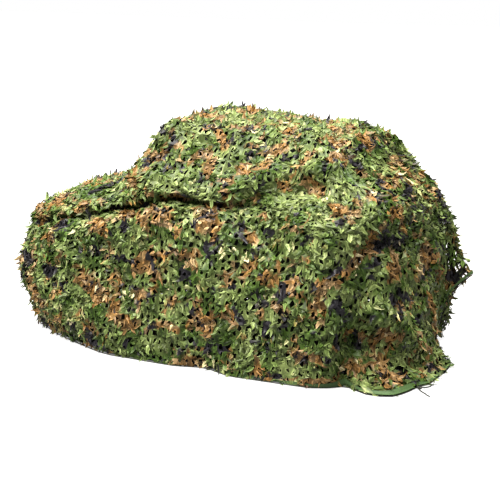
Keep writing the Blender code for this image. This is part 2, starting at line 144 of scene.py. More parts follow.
# Soft ridges and troughs of the skirt. Each is a curve from a start to an end, pulled towards a
# middle. A place around the skirt is a zone's number plus the share of the way through it.
FOLDS = (
    # name, start place, ring, middle place, ring, end place, ring, width, depth
    ("ridge up to the rear corner", 0.76, 1.80, 0.88, 1.15, 1.20, 0.95, 0.07, 0.055),
    ("band under the ridge", 0.74, 2.35, 0.90, 1.70, 1.34, 1.48, 0.08, -0.070),
    ("shelf at the rear corner", 0.92, 2.55, 1.12, 2.20, 1.32, 2.30, 0.09, 0.045),
    ("corner hollow", 1.38, 3.00, 1.60, 2.60, 1.95, 3.20, 0.14, -0.050),
    ("near shoulder", 0.12, 3.25, 0.40, 3.22, 0.72, 3.25, 0.12, 0.030),
    ("flap's ridge", 1.50, 3.85, 1.65, 4.08, 2.45, 5.00, 0.08, 0.080),
    ("flap's hollow", 1.36, 4.34, 1.60, 4.48, 1.84, 5.05, 0.10, -0.120),
    ("ramp's foot", 0.34, 0.60, 0.37, 1.20, 0.34, 1.90, 0.10, -0.025),
    ("near pull", 0.12, 2.60, 0.24, 3.60, 0.22, 5.20, 0.11, 0.020),
    ("near sag", 0.44, 3.20, 0.52, 4.00, 0.56, 5.40, 0.14, -0.025),
    ("near pleat", 0.70, 3.40, 0.70, 4.20, 0.74, 5.60, 0.09, 0.020),
    ("rear swag", 2.10, 2.20, 2.45, 3.40, 2.95, 2.10, 0.12, -0.030),
    ("rear pleat", 2.62, 2.60, 2.58, 4.00, 2.66, 5.60, 0.09, 0.035),
    ("far swag", 4.10, 2.40, 4.40, 3.60, 4.70, 2.60, 0.13, -0.035),
    ("far pleat", 4.30, 3.20, 4.33, 4.20, 4.30, 5.60, 0.10, 0.035),
    ("far front pleat", 4.78, 2.80, 4.74, 4.00, 4.80, 5.50, 0.10, 0.030),
    ("far front ear", 5.50, 2.20, 5.50, 3.60, 5.50, 5.20, 0.09, 0.035),
    ("front swag", 6.10, 2.60, 6.50, 4.10, 6.92, 2.50, 0.11, -0.030),
    ("near front pleat", 7.60, 2.60, 7.64, 3.80, 7.56, 5.00, 0.09, 0.020),
)
FOLD_SAMPLES = 25

# Unevenness, as a sum of waves through space.
WAVES = (
    # height, wavelengths along x, y and z, phase
    (0.009, 0.62, 0.90, 0.75, 0.4),
    (0.008, -0.41, 0.55, 0.63, 2.1),
    (0.006, 0.33, -0.47, 0.38, 4.0),
)

# The corner tie, as in the solids: a trefoil knot just past the hem and two free ends, whose points
# are measured from the knot's centre.
TIE_PLACE = 1.85
KNOT_OUT = 0.0270
KNOT_HEADING = -12
KNOT_SCALE = 0.006
KNOT_RADIUS = 0.0048
TIE_RADIUS = 0.005
TIE_ENDS = (
    # name, real length, points from the knot's centre
    ("tie_end_long", 0.174, (
        (0.0072, -0.0223, 0.0), (0.026, -0.043, -0.003), (0.056, -0.066, -0.0058),
        (0.086, -0.086, -0.0058), (0.114, -0.112, -0.0058), (0.142, -0.130, -0.0058))),
    ("tie_end_short", 0.136, (
        (0.0157, 0.0174, 0.0), (0.031, 0.038, -0.004), (0.042, 0.062, -0.0058),
        (0.052, 0.088, -0.0058), (0.050, 0.116, -0.0058), (0.058, 0.142, -0.0058))),
)
END_ROWS = 48
KNOT_ROWS = 160
ROPE_SIDES = 18
ROPE_LAY = 0.024
STRAND_DEPTH = 0.16
FRAY_COUNT = 9
FRAY_RADIUS = 0.0008
FRAY_ROWS = 8
FRAY_LENGTH = (0.016, 0.034)
FRAY_FAN = 0.7
FRAY_BEND = 1.6

# The fine grids that the dressing is read from: steps in each grid column and ring.
COLUMN_STEPS = 5
RING_STEPS = 16
TOP_GRID = (240, 90)

# The cut sheet and its leaves.
SEED = 7
CRUMPLE = 0.022
LAYERS = (
    # depth inside the drape, share cut out, tone and painted shade: the cloth in front at a random tone,
    # and its gathered excess behind, darkened almost to black as painted shade
    (0.008, (0.60, 1.05), (-0.1, 0.9)),
    # Painted shade: the layer behind is given a tone that darkens it almost to black.
    (0.045, (0.20, 0.50), (-0.39, -0.33)),
)
CUT_SLIM = 0.80
SKIRT_CELLS = (190, 40)
TOP_CELLS = (58, 23)
FLOOR_GAP = 0.003
LEAF_ROWS = 5
LEAF_SPREAD = 26
LEAF_SLANT = 38
LEAF_BEND = 95
LEAF_LEAN = (-4, 30)
LEAF_CURL = (-90, 70)
LEAF_TWIST = 60
LEAF_CUP = 0.45
LEAF_WAVE = 0.25
LEAF_WAVES = 1.6
CURL_POWER = 1.3
LEAF_TAPER = (1.06, 0.75, 0.8)
PRINT_FOLLOW = 0.4
CUT_TURN = 0.6
SIZE_SPREAD = 0.40
ROOT_LIFT = (-0.012, 0.002)
GARNISH_PANELS = (
    # name, first and last place around, flat width and length
    ("garnish_near", 7.5, 9.0, 2.8, 3.9),
    ("garnish_rear", 1.0, 4.0, 3.1, 3.0),
    ("garnish_far", 4.0, 5.5, 2.6, 4.0),
    ("garnish_front", 5.5, 7.5, 2.1, 2.0),
)

# Where less dressing lies, as spans of places around and of rings: the crease has none.
CREASE = (0.72, (2.1, 3.03))
THIN_CORNER = ((2.95, 3.50), (1.2, 5.9), 0.30)
THIN_TAPE = ((1.02, 1.95), (5.75, 6.0), 0.5)
CROWD = (1.8, (1.7, 2, 3, 3.2), (0, 1, 1, 0))

# The string mesh behind the garnish, and the hem's tape. The tape is wider at the near rear corner
# and lies over the cloth along the rear.
STRING_DEPTH = 0.026
STRING_EVERY = (3, 5)
TOP_STRING_EVERY = (4, 5)
TAPE_ROWS = 5
TAPE_CORNER = 1.3
TAPE_CORNER_SPAN = (1.25, 1.75)
TAPE_SEEN_SPAN = (1.02, 3.45)
TAPE_LIFT = (-0.012, 0.007)
TAPE_RIB = 0.0025
TAPE_STITCH = 0.006

# Soft patches that pull the print towards one colour, given one by one. Most follow the print; the green
# ones on the shelf at the near rear corner paint light where the shelf catches it.
PATCHES = (
    # kind, centre, radius
    ("brown", (-0.23, -0.95, 0.76), 0.16),
    ("brown", (0.00, -0.98, 0.56), 0.20),
    ("brown", (0.17, -0.95, 0.36), 0.14),
    ("brown", (-0.63, -1.01, 0.41), 0.15),
    ("brown", (1.09, -0.94, 0.60), 0.17),
    ("brown", (0.68, -0.89, 0.95), 0.12),
    ("brown", (-0.63, -0.90, 1.15), 0.12),
    ("brown", (-1.06, -0.94, 0.89), 0.13),
    ("brown", (-1.52, -0.73, 1.02), 0.12),
    ("brown", (0.33, -0.55, 1.78), 0.20),
    ("brown", (1.12, -0.23, 1.82), 0.26),
    ("brown", (1.49, 0.18, 1.44), 0.20),
    ("brown", (1.51, -0.86, 1.23), 0.09),
    ("brown", (1.72, -0.64, 0.11), 0.10),
    ("green", (0.25, -0.82, 1.41), 0.17),
    ("green", (-0.10, -0.46, 1.88), 0.25),
    ("green", (0.14, -0.10, 1.90), 0.25),
    # Painted light: these green patches lighten the shelf at the near rear corner.
    ("green", (1.31, -0.92, 1.31), 0.16),
    ("green", (1.44, -0.90, 1.27), 0.12),
    ("green", (1.00, -0.79, 1.39), 0.14),
    ("green", (-0.72, -1.00, 0.10), 0.18),
    ("green", (-0.23, -0.99, 0.12), 0.16),
    ("green", (0.97, -0.90, 0.15), 0.16),
    ("green", (0.51, -0.96, 0.56), 0.14),
    ("green", (-0.35, -0.95, 1.03), 0.13),
    ("green", (-1.06, -0.78, 1.19), 0.18),
    ("green", (1.76, -0.26, 0.22), 0.16),
    ("green", (1.63, -0.65, 0.79), 0.10),
    ("dark", (-0.15, -0.97, 0.66), 0.06),
    ("dark", (1.58, -0.70, 0.95), 0.10),
    ("dark", (1.61, -0.38, 1.12), 0.12),
    ("dark", (1.40, -0.73, 0.38), 0.12),
    ("dark", (0.23, -0.93, 0.99), 0.06),
    ("dark", (-0.43, -1.00, 0.17), 0.07),
)
# How each kind of patch pulls the brown, the dark and the light of the print.
LEANS = {
    "brown": (0.7, -0.2, 0.2),
    "green": (-0.8, -0.6, 0.8),
    "dark": (-0.3, 1.0, -0.6),
}

# The print's three noises, and how its leaves differ: a random tone, painted shade on the layer behind,
# and painted highlights.
PRINT = {
    # scale, offset, distortion, the patches' channel and pull, where it starts and is full
    "light": (5.5, (3.1, 0.4, 1.7), 0.4, "Z", 0.10, 0.42, 0.62),
    "brown": (5.2, (7.7, 4.2, 2.9), 0.8, "X", 0.05, 0.53, 0.575),
    "dark": (6.5, (1.3, 8.8, 5.1), 0.6, "Y", 0.06, 0.58, 0.615),
}
# The grey that each colour is multiplied by, from tone 0 to 1: a random tone, and painted shade on the
# layer behind, whose tone is below 0.
TONE_AND_SHADE_RANGE = (0.42, 1.50)
# Painted highlight: leaves and cells above this tone, in the clusters of a noise, take the pale colour.
PALE_HIGHLIGHT_FROM = 0.72
PALE_HIGHLIGHT_CLUSTER = (0.54, 0.64)
# Painted highlight: how much the edges of leaves and cuts are lightened.
EDGE_HIGHLIGHT = (2.9, 2.8, 3.2)

# Open spots in the cloth: at the raised tip, under the near corner's hem and in its ear.
HOLES = (
    # centre, radius
    ((1.63, 0.45, 0.84), 0.040),
    ((1.58, 0.78, 0.76), 0.080),
    ((1.62, 0.59, 0.73), 0.050),
    ((1.69, 0.66, 0.68), 0.045),
    ((1.75, 0.70, 0.70), 0.020),
    ((1.63, 0.50, 1.00), 0.030),
    ((1.64, 0.66, 0.89), 0.035),
    ((1.75, -0.51, 0.12), 0.055),
    ((1.84, -0.12, 0.04), 0.040),
)
HOLE_RIM = 0.008

# The studio. The camera is fitted to the photograph's outline.
LOOK_AT = (0.041, 0.025, 0.85)
SHIFT = (0.0068, -0.0202)
SENSOR = 36
KEY_FROM = (-1.2, -2.3, 8.5)
# The floor's glow on rings about the hem: none under the net and less by the hem, as painted shadow.
FLOOR_REACH = (0.0, 0.97, 0.995, 1.015, 1.06, 1.2, 40.0)
FLOOR_GLOW = (0.0, 0.0, 0.35, 0.7, 0.95, 1.0, 1.0)
FLOOR_GREY = (0.16, 0.16, 0.16, 1)
FLOOR_FILL = 0.20
RAISED_HEM = 0.3
RAISED_PULL = 0.4
KEY_COLOUR = (1.0, 0.97, 0.90)
WHITE = (1, 1, 1, 1)
FILL_COLOUR = (1, 0.97, 0.85, 1)
FILL_STRENGTH = 0.07


def metres(name, description, default):
    """A setting in metres."""
    return bpy.props.FloatProperty(name=name, description=description, default=default, unit="LENGTH")


def turned(name, description, degrees):
    """A setting that is an angle."""
    default = float(np.radians(degrees))
    return bpy.props.FloatProperty(name=name, description=description, default=default, subtype="ANGLE")


def colour_of(name, description, default):
    """A setting that is a colour."""
    return bpy.props.FloatVectorProperty(
        name=name, description=description, default=default, subtype="COLOR")


class NettingCloth(bpy.types.PropertyGroup):
    """The garnish's leaf cuts and its print."""

    leaf_length: metres("Leaf length", "Mean length of a leaf cut", 0.062)
    leaf_width: metres("Leaf width", "Mean width of a leaf cut", 0.028)
    leaf_pitch: metres("Leaf pitch", "Distance between leaf cuts", 0.041)
    green: colour_of("Green", "Mid green of the print", (0.038, 0.070, 0.011))
    light_green: colour_of("Light green", "Light green of the print", (0.135, 0.172, 0.055))
    brown: colour_of("Brown", "Brown of the print", (0.160, 0.085, 0.024))
    tan: colour_of("Tan", "Lighter brown of the print", (0.22, 0.150, 0.070))
    dark: colour_of("Dark", "Near black of the print", (0.013, 0.012, 0.015))
    # Painted highlight: the pale colour that clusters of leaves take.
    pale_highlight: colour_of("Pale", "Pale back of the cloth", (0.55, 0.48, 0.27))


class NettingCords(bpy.types.PropertyGroup):
    """The string mesh, the hem's tape and the cords."""

    string_width: metres("String width", "Width of the mesh's string", 0.0035)
    tape_width: metres("Tape width", "Width of the hem's tape", 0.024)
    string_colour: colour_of("String colour", "Colour of the string mesh", (0.006, 0.007, 0.003))
    tape_colour: colour_of("Tape colour", "Colour of the hem's tape", (0.048, 0.090, 0.030))
    cord_colour: colour_of("Cord colour", "Colour of the edge cord and the tie", (0.020, 0.022, 0.018))


class NettingStudio(bpy.types.PropertyGroup):
    """The camera, the key light and the floor."""

    azimuth: turned("Azimuth", "Camera's turn from the near side", 31.1)
    elevation: turned("Elevation", "Camera's rise", 12.5)
    distance: metres("Distance", "Camera's distance", 11.6)
    lens: bpy.props.FloatProperty(
        name="Lens", description="Camera's focal length", default=99.1, unit="CAMERA")
    key_strength: bpy.props.FloatProperty(
        name="Key strength", description="Strength of the overhead light", default=15.2)
    key_spread: turned("Key spread", "Width of the overhead light", 60)


def run_along(points):
    """The distance along a line of points, from 0 at its first."""
    return np.concatenate([[0], np.cumsum(np.linalg.norm(np.diff(points, axis=0), axis=1))])


def running(steps):
    """The running sums of each row of steps, from 0."""
    return np.concatenate([np.zeros((len(steps), 1)), np.cumsum(steps, axis=1)], 1)


def unit(vectors):
    """Vectors at length 1, along their last axis."""
    return vectors / np.maximum(np.linalg.norm(vectors, axis=-1, keepdims=True), 1e-9)


def off_floor(spots):
    """Lift points that lie under the floor's gap up to it, in place."""
    spots[..., 2] = np.maximum(spots[..., 2], FLOOR_GAP)


def blend(share, span, first, last, first_slope, last_slope):
    """A cubic from first to last with given slopes at both ends."""
    square, cube = share**2, share**3
    return (
        (2 * cube - 3 * square + 1) * first
        + (cube - 2 * square + share) * span * first_slope
        + (3 * square - 2 * cube) * last
        + (cube - square) * span * last_slope
    )


def smooth(knots, rows, at):
    """Read a smooth curve through rows at rising knots: a cubic between each two. Its slope at a
    row is the harmonic mean of the chords beside it, and level at a peak, so it never overshoots."""
    chords = np.diff(rows, axis=0) / np.diff(knots)[:, None]
    product = np.maximum(chords[:-1] * chords[1:], 0)
    inner = 2 * product / np.where(product > 0, chords[:-1] + chords[1:], 1)
    slopes = np.vstack([chords[:1], inner, chords[-1:]])
    cell = np.clip(np.searchsorted(knots, at) - 1, 0, len(knots) - 2)
    span = (knots[cell + 1] - knots[cell])[:, None]
    share = (at - knots[cell])[:, None] / span
    return blend(share, span, rows[cell], rows[cell + 1], slopes[cell], slopes[cell + 1])


TOP_X, TOP_SECTIONS = np.array(TOP)[:, 0], np.array(TOP)[:, 1:]
FRONT_X, REAR_X = TOP_X[0], TOP_X[-1]
FRONT_HALF, REAR_HALF = TOP_SECTIONS[0, 1], TOP_SECTIONS[-1, 1]


def place_around(zone, place):
    """A rib's place around the skirt: its zone's number plus the share of the way through it."""
    ends = {
        "near": (FRONT_X, REAR_X),
        "rear": (-REAR_HALF, REAR_HALF),
        "far": (REAR_X, FRONT_X),
        "front": (FRONT_HALF, -FRONT_HALF),
    }
    start, end = ends.get(zone, (0, 1))
    number = [name for name, columns in ZONES].index(zone)
    return number + (place - start) / (end - start)


def rib_table():
    """The ribs as rows of place, heading, outs and heights. A few are repeated a lap before the
    start and a lap after the end, so that the closed skirt stays smooth there."""
    rows = np.array([(place_around(rib[0], rib[1]), *rib[2:]) for rib in RIBS])
    lap = np.zeros(rows.shape[1])
    lap[:2] = len(ZONES), 360
    return np.vstack([rows[-3:] - lap, rows, rows[:3] + lap])


RIB_PLACES, RIB_ROWS = rib_table()[:, 0], rib_table()[:, 1:]


def outwards(angle):
    """The level unit vector at an angle from +X in degrees."""
    turn = np.radians(angle)
    return np.stack([np.cos(turn), np.sin(turn), 0 * turn], -1)


def strip(x, across):
    """The plain top strip. across goes from -1 to 1 between its edges, lower by the crown."""
    height, half, crown = smooth(TOP_X, TOP_SECTIONS, x).T
    return np.stack([x, across * half, height - crown * np.abs(across) ** CROWN_POWER], -1)


def strip_edge(around):
    """The point of the strip's edge where the rib at a place around starts."""
    zone_ends = np.arange(len(ZONES) + 1)
    x = np.interp(around, zone_ends, np.array([0, 1, 1, 1, 1, 0, 0, 0, 0]))
    across = np.interp(around, zone_ends, np.array([-1, -1, -1, 1, 1, 1, 1, -1, -1]))
    return strip(FRONT_X + (REAR_X - FRONT_X) * x, across)


def skirt(around, ring):
    """The plain skirt. Each rib is a smooth curve through its eight points, and its slope at a
    point is the mean of the chords there, weighted towards the shorter one. The lip is a share of
    the way from tuck to belly, and as far out again as the belt stands over the tuck."""
    edge = strip_edge(around)
    row = smooth(RIB_PLACES, RIB_ROWS, around)
    heading = outwards(row[:, 0])
    belt_out, belt_z, tuck_out, tuck_z, belly_out, belly_z, foot_out, hem_out, hem_z = row[:, 1:].T

    def point(out, z):
        spot = edge + heading * out[:, None]
        spot[:, 2] = z
        return spot

    shoulder_z = edge[:, 2] - SHOULDER_DOWN * (edge[:, 2] - belt_z)
    lip_out = tuck_out + LIP_SHARE * (belly_out - tuck_out) + np.maximum(belt_out - tuck_out, 0)
    points = np.stack([
        edge,
        point(SHOULDER_START + SHOULDER_OUT * belt_out, shoulder_z),
        point(belt_out, belt_z),
        point(tuck_out, tuck_z),
        point(lip_out, tuck_z + LIP_SHARE * (belly_z - tuck_z)),
        point(belly_out, belly_z),
        point(foot_out, hem_z + FOOT_HEIGHT),
        point(hem_out, hem_z),
    ], 1)
    steps = np.linalg.norm(np.diff(points, axis=1), axis=2)[:, :, None]
    chords = np.diff(points, axis=1) / steps
    before, after = steps[:, :-1], steps[:, 1:]
    inner = (chords[:, :-1] * after + chords[:, 1:] * before) / (before + after)
    slopes = np.concatenate([chords[:, :1], inner, chords[:, -1:]], 1)
    each = np.arange(len(ring))
    cell = np.clip(np.searchsorted(RIB_RINGS, ring, side="right") - 1, 0, len(RIB_RINGS) - 2)
    share = ((ring - RIB_RINGS[cell]) / np.diff(RIB_RINGS)[cell])[:, None]
    return blend(share, steps[each, cell], points[each, cell], points[each, cell + 1],
                 slopes[each, cell], slopes[each, cell + 1])


def lift(spots):
    """How far the folds and waves lift the sheet at points of the plain drape. A fold's lift
    dies away as a bell curve from its line, and towards the line's ends."""
    height = np.zeros(len(spots))
    for top, along, across, up, phase in WAVES:
        turns = spots[:, 0] / along + spots[:, 1] / across + spots[:, 2] / up
        height += top * np.sin(2 * np.pi * turns + phase)
    share = np.linspace(0, 1, FOLD_SAMPLES)
    weights = np.stack([(1 - share) ** 2, 2 * share * (1 - share), share**2])
    for name, start, start_ring, middle, middle_ring, end, end_ring, width, depth in FOLDS:
        places = np.array([start, middle, end]) @ weights
        rings = np.array([start_ring, middle_ring, end_ring]) @ weights
        away = np.linalg.norm(spots[:, None] - skirt(places, rings)[None], axis=2)
        nearest = share[away.argmin(1)]
        height += depth * np.sin(np.pi * (0.1 + 0.8 * nearest)) * np.exp(-((away.min(1) / width) ** 2))
    return height


def settle(spots):
    """Move points over the origin, and none lower than the hem's rest on its cord."""
    spots = spots + TO_MIDDLE
    spots[:, 2] = np.maximum(spots[:, 2], HEM_REST)
    return spots


def top_points(x, across):
    """The finished top strip, its folds standing straight up."""
    spots = strip(x, across)
    spots[:, 2] += lift(spots)
    return settle(spots)


def skirt_points(around, ring):
    """The finished skirt. Folds stand up at the strip's edge, turn level by the belt, and die
    away at the hem."""
    spots = skirt(around, ring)
    level = np.clip(ring / BELT, 0, 1)[:, None]
    heading = outwards(smooth(RIB_PLACES, RIB_ROWS[:, :1], around)[:, 0])
    way = heading * level + np.array([0, 0, 1]) * (1 - level)
    way /= np.linalg.norm(way, axis=1, keepdims=True)
    calm = np.clip((HEM - ring) / FLOOR_CALM, 0, 1)
    return settle(spots + way * (lift(spots) * calm)[:, None])


class Drape:
    """A grid of points on the finished drape, with outward normals and directions down it."""

    def __init__(self, points, closed, outside):
        self.points, self.closed = points, closed
        if closed:
            around = np.roll(points, -1, axis=0) - np.roll(points, 1, axis=0)
        else:
            around = np.gradient(points, axis=0)
        down = np.gradient(points, axis=1)
        normals = np.cross(around, down) * outside
        size = np.linalg.norm(normals, axis=2, keepdims=True)
        normals = normals / np.maximum(size, 1e-12)
        poor = size[:, 0, 0] < 1e-9
        normals[poor, 0] = normals[poor, 1]
        self.normals = normals
        self.downs = unit(down)

    def read(self, values, i, j):
        """Values at fractional grid places: the mean of the four nearest, weighted by nearness."""
        count = values.shape[0]
        low_i = np.floor(i).astype(int)
        low_j = np.clip(np.floor(j).astype(int), 0, values.shape[1] - 2)
        share_i, share_j = (i - low_i)[:, None], (j - low_j)[:, None]
        next_i = (low_i + 1) % count if self.closed else np.minimum(low_i + 1, count - 1)
        low_i = low_i % count if self.closed else np.clip(low_i, 0, count - 1)
        near = values[low_i, low_j] * (1 - share_j) + values[low_i, low_j + 1] * share_j
        far = values[next_i, low_j] * (1 - share_j) + values[next_i, low_j + 1] * share_j
        return near * (1 - share_i) + far * share_i

    def steps(self):
        """The distance from each point to the next one down its column."""
        return np.linalg.norm(np.diff(self.points, axis=1), axis=2)

    def even(self, rows, crowd=1.0):
        """Fractional places down every column at even shares of its length. Where crowd is above
        1, lengths count for that much more."""
        run = running(self.steps() * crowd)
        levels = np.arange(run.shape[1])
        shares = np.linspace(0, 1, rows)
        return np.stack([np.interp(shares * line[-1], line, levels) for line in run])

    def above_hem(self, heights):
        """Fractional places down every column at each column's distances up from its last row."""
        run = running(self.steps()[:, ::-1])
        levels = np.arange(run.shape[1])[::-1]
        return np.stack([np.interp(height, line, levels) for height, line in zip(heights, run)])

    def rows(self, pitch, rng, jitter=0.35):
        """Fractional grid places on even rows: each row keeps one share of every column's length,
        and has places one pitch apart along it, shifted from row to row and jittered."""
        depth = np.mean(self.steps().sum(1))
        number = max(2, int(round(depth / pitch)))
        lines = self.even(2 * number + 1)[:, 1::2]
        columns = np.arange(len(self.points))
        found = []
        for row in range(number):
            line = self.read(self.points, columns.astype(float), lines[:, row])
            ring = np.vstack([line, line[:1]]) if self.closed else line
            run = run_along(ring)
            count = max(1, int(run[-1] / pitch))
            at = np.arange(count) + 0.5 * (row % 2) + rng.uniform(-jitter, jitter, count)
            at = at / count * run[-1]
            i = np.interp(at % run[-1], run, np.arange(len(ring)))
            j = np.interp(i, np.arange(len(ring)), np.append(lines[:, row], lines[0, row])[: len(ring)])
            j = j + rng.uniform(-jitter, jitter, count) * (self.points.shape[1] - 1) / number
            found.append(np.stack([i, np.clip(j, 0.2, self.points.shape[1] - 1.2)], 1))
        return np.vstack(found)


def top_drape():
    """The strip's fine grid: along x, and across from its near to its far edge."""
    x = np.linspace(FRONT_X, REAR_X, TOP_GRID[0])
    cells = np.meshgrid(x, np.linspace(-1, 1, TOP_GRID[1]), indexing="ij")
    points = top_points(cells[0].ravel(), cells[1].ravel())
    return Drape(points.reshape(*TOP_GRID, 3), False, 1)


def skirt_drape():
    """The skirt's fine grid: around it, and down from the strip's edge to the hem."""
    around = np.concatenate([
        number + np.arange(columns * COLUMN_STEPS) / (columns * COLUMN_STEPS)
        for number, (name, columns) in enumerate(ZONES)
    ])
    ring = np.linspace(0, HEM, HEM * RING_STEPS + 1)
    cells = np.meshgrid(around, ring, indexing="ij")
    points = skirt_points(cells[0].ravel(), cells[1].ravel())
    return around, Drape(points.reshape(len(around), len(ring), 3), True, -1)


TOP_CLOTH = top_drape()
AROUND, SKIRT_CLOTH = skirt_drape()


def place_of(i):
    """The place around the skirt of a fractional grid column."""
    return np.interp(i, np.arange(len(AROUND) + 1), np.append(AROUND, len(ZONES))) % len(ZONES)


def within(low, high, value, soft=0.15):
    """1 where a value is between two limits, and falling to 0 over a soft step outside them."""
    return np.clip(np.minimum(value - low, high - value) / soft + 1, 0, 1)


def thinness(place, ring):
    """The share of the dressing left out: in the crease under the belt, where the loose corner of
    the far rear hangs free and shows holes, and over the tape at the near rear."""
    last, (upper, lower) = CREASE
    crease = (place < last) & (ring > upper) & (ring < lower)
    span, rings, share = THIN_CORNER
    corner = within(*span, place) * within(*rings, ring, 0.5) * share
    span, rings, share = THIN_TAPE
    tape = within(*span, place) * within(*rings, ring) * share
    return np.where(crease, 1, corner + tape)


def opened(spots, rim=0.0):
    """Where points lie in one of the open spots, widened by a rim."""
    inside = [np.linalg.norm(spots - centre, axis=-1) < radius + rim for centre, radius in HOLES]
    return np.any(inside, axis=0)


def new_piece(name, spots, faces, material, smooth_faces=False):
    """A mesh piece from whole arrays, riding on the object's one body."""
    mesh = bpy.data.meshes.new(name)
    mesh.from_pydata(spots.tolist(), [], [face.tolist() for face in faces])
    mesh.polygons.foreach_set("use_smooth", np.full(len(faces), smooth_faces))
    mesh.materials.append(material)
    mesh.update()
    piece = bpy.data.objects.new(name, mesh)
    bpy.context.scene.collection.objects.link(piece)
    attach(piece, "root")
    return piece


def set_attribute(piece, name, kind, values):
    """A named attribute on the piece's vertices."""
    layer = piece.data.attributes.new(name, kind, "POINT")
    field = "vector" if kind == "FLOAT_VECTOR" else "value"
    layer.data.foreach_set(field, values.ravel().astype(np.float32))


def link(tree, start, end):
    """Join two sockets."""
    tree.links.new(start, end)


def feed(tree, socket, value):
    """Join a socket to another one, or give it a number or a plain colour."""
    if isinstance(value, bpy.types.NodeSocket):
        link(tree, value, socket)
    else:
        socket.default_value = value if isinstance(value, (float, int)) else (*value, 1)


def new_material(name, roughness, specular):
    """A material, with its node tree and its one finish node."""
    material = bpy.data.materials.new(name)
    material.use_nodes = True
    finish = material.node_tree.nodes["Principled BSDF"]
    finish.inputs["Roughness"].default_value = roughness
    finish.inputs["Specular IOR Level"].default_value = specular
    return material, material.node_tree, finish


def attribute(tree, name):
    """The node that reads one of a piece's attributes."""
    node = tree.nodes.new("ShaderNodeAttribute")
    node.attribute_name = name
    return node


def object_place(tree):
    """The place on the object, as a socket."""
    return tree.nodes.new("ShaderNodeTexCoord").outputs["Object"]


def parts_of(tree, vector):
    """The X, Y and Z of a vector, as sockets."""
    node = tree.nodes.new("ShaderNodeSeparateXYZ")
    link(tree, vector, node.inputs["Vector"])
    return node.outputs


def shaded(colour, factor):
    """A plain colour made darker or lighter."""
    return tuple(factor * channel for channel in colour)


def noise(tree, vector, scale, detail, offset=(0, 0, 0), distortion=0.0):
    """A noise texture moved by an offset, as its factor."""
    shift = tree.nodes.new("ShaderNodeMapping")
    shift.inputs["Location"].default_value = offset
    link(tree, vector, shift.inputs["Vector"])
    node = tree.nodes.new("ShaderNodeTexNoise")
    node.inputs["Scale"].default_value = scale
    node.inputs["Detail"].default_value = detail
    node.inputs["Distortion"].default_value = distortion
    link(tree, shift.outputs["Vector"], node.inputs["Vector"])
    return node.outputs["Fac"]


def math(tree, operation, first, second):
    """A sum or product of two sockets or numbers."""
    node = tree.nodes.new("ShaderNodeMath")
    node.operation = operation
    for socket, value in zip(node.inputs, (first, second)):
        feed(tree, socket, value)
    return node.outputs["Value"]


def spread(tree, factor, low, high, start=0.0, end=1.0, clamp=True):
    """A factor from low to high, mapped to go from start to end."""
    node = tree.nodes.new("ShaderNodeMapRange")
    node.clamp = clamp
    for name, value in (("From Min", low), ("From Max", high), ("To Min", start), ("To Max", end)):
        node.inputs[name].default_value = value
    link(tree, factor, node.inputs["Value"])
    return node.outputs["Result"]


def mix(tree, factor, first, second, blend_type="MIX"):
    """A colour between two, which are sockets or plain colours."""
    node = tree.nodes.new("ShaderNodeMix")
    node.data_type = "RGBA"
    node.blend_type = blend_type
    for socket, value in ((node.inputs[0], factor), (node.inputs[6], first), (node.inputs[7], second)):
        feed(tree, socket, value)
    return node.outputs[2]


def add_bump(tree, finish, height, strength, distance):
    """Low relief from a height."""
    bump = tree.nodes.new("ShaderNodeBump")
    bump.inputs["Strength"].default_value = strength
    bump.inputs["Distance"].default_value = distance
    link(tree, height, bump.inputs["Height"])
    link(tree, bump.outputs["Normal"], finish.inputs["Normal"])


def garnish_finish(cloth):
    """The printed cloth. Noise read where a leaf was cut from the plain drape picks light and mid green,
    brown and near black, pulled by the soft patches. Each leaf and cell is made lighter or darker by its
    tone: at random in front, and almost to black on the layer behind as painted shade. A few leaves and
    cells in clusters take a cream colour as a painted highlight, and the edges of leaves and cuts are
    lightened as a painted highlight."""
    material, tree, finish = new_material("garnish", 0.42, 0.2)
    spot = attribute(tree, "cut_place").outputs["Vector"]
    tone_and_shade = attribute(tree, "tone_and_shade").outputs["Fac"]
    rim = attribute(tree, "rim").outputs["Fac"]
    lean = parts_of(tree, attribute(tree, "lean").outputs["Vector"])

    def patch(scale, offset, distortion, channel, pull, low, high):
        shade = noise(tree, spot, scale, 4.0, offset, distortion)
        shade = math(tree, "ADD", shade, math(tree, "MULTIPLY", lean[channel], pull))
        return spread(tree, shade, low, high)

    light, brown, dark = (patch(*PRINT[name]) for name in ("light", "brown", "dark"))
    tan = spread(tree, noise(tree, spot, 9.0, 3.0, (2.2, 6.1, 0.8)), 0.45, 0.65)
    colour = mix(tree, light, cloth.green, cloth.light_green)
    colour = mix(tree, brown, colour, mix(tree, tan, cloth.brown, cloth.tan))
    colour = mix(tree, dark, colour, cloth.dark)
    # Random tone, and painted shade that makes the layer behind almost black.
    shade = spread(tree, tone_and_shade, 0, 1, *TONE_AND_SHADE_RANGE, False)
    grey = tree.nodes.new("ShaderNodeCombineColor")
    for channel in ("Red", "Green", "Blue"):
        link(tree, shade, grey.inputs[channel])
    colour = mix(tree, 1.0, colour, grey.outputs["Color"], "MULTIPLY")
    # Painted highlight: clusters of the lightest leaves and cells turn pale.
    cluster = spread(tree, noise(tree, spot, 3.4, 2.0, (4.6, 0.7, 9.3), 0.3), *PALE_HIGHLIGHT_CLUSTER)
    back = math(tree, "MULTIPLY", spread(tree, tone_and_shade, PALE_HIGHLIGHT_FROM, 1.0), cluster)
    colour = mix(tree, back, colour, cloth.pale_highlight)
    # Painted highlight along the edges of leaves and cuts.
    lighter = mix(tree, 1.0, colour, EDGE_HIGHLIGHT, "MULTIPLY")
    colour = mix(tree, spread(tree, rim, 0.55, 1.2), colour, lighter)
    link(tree, colour, finish.inputs["Base Color"])
    add_bump(tree, finish, noise(tree, object_place(tree), 180.0, 3.0), 0.25, 0.002)
    return material


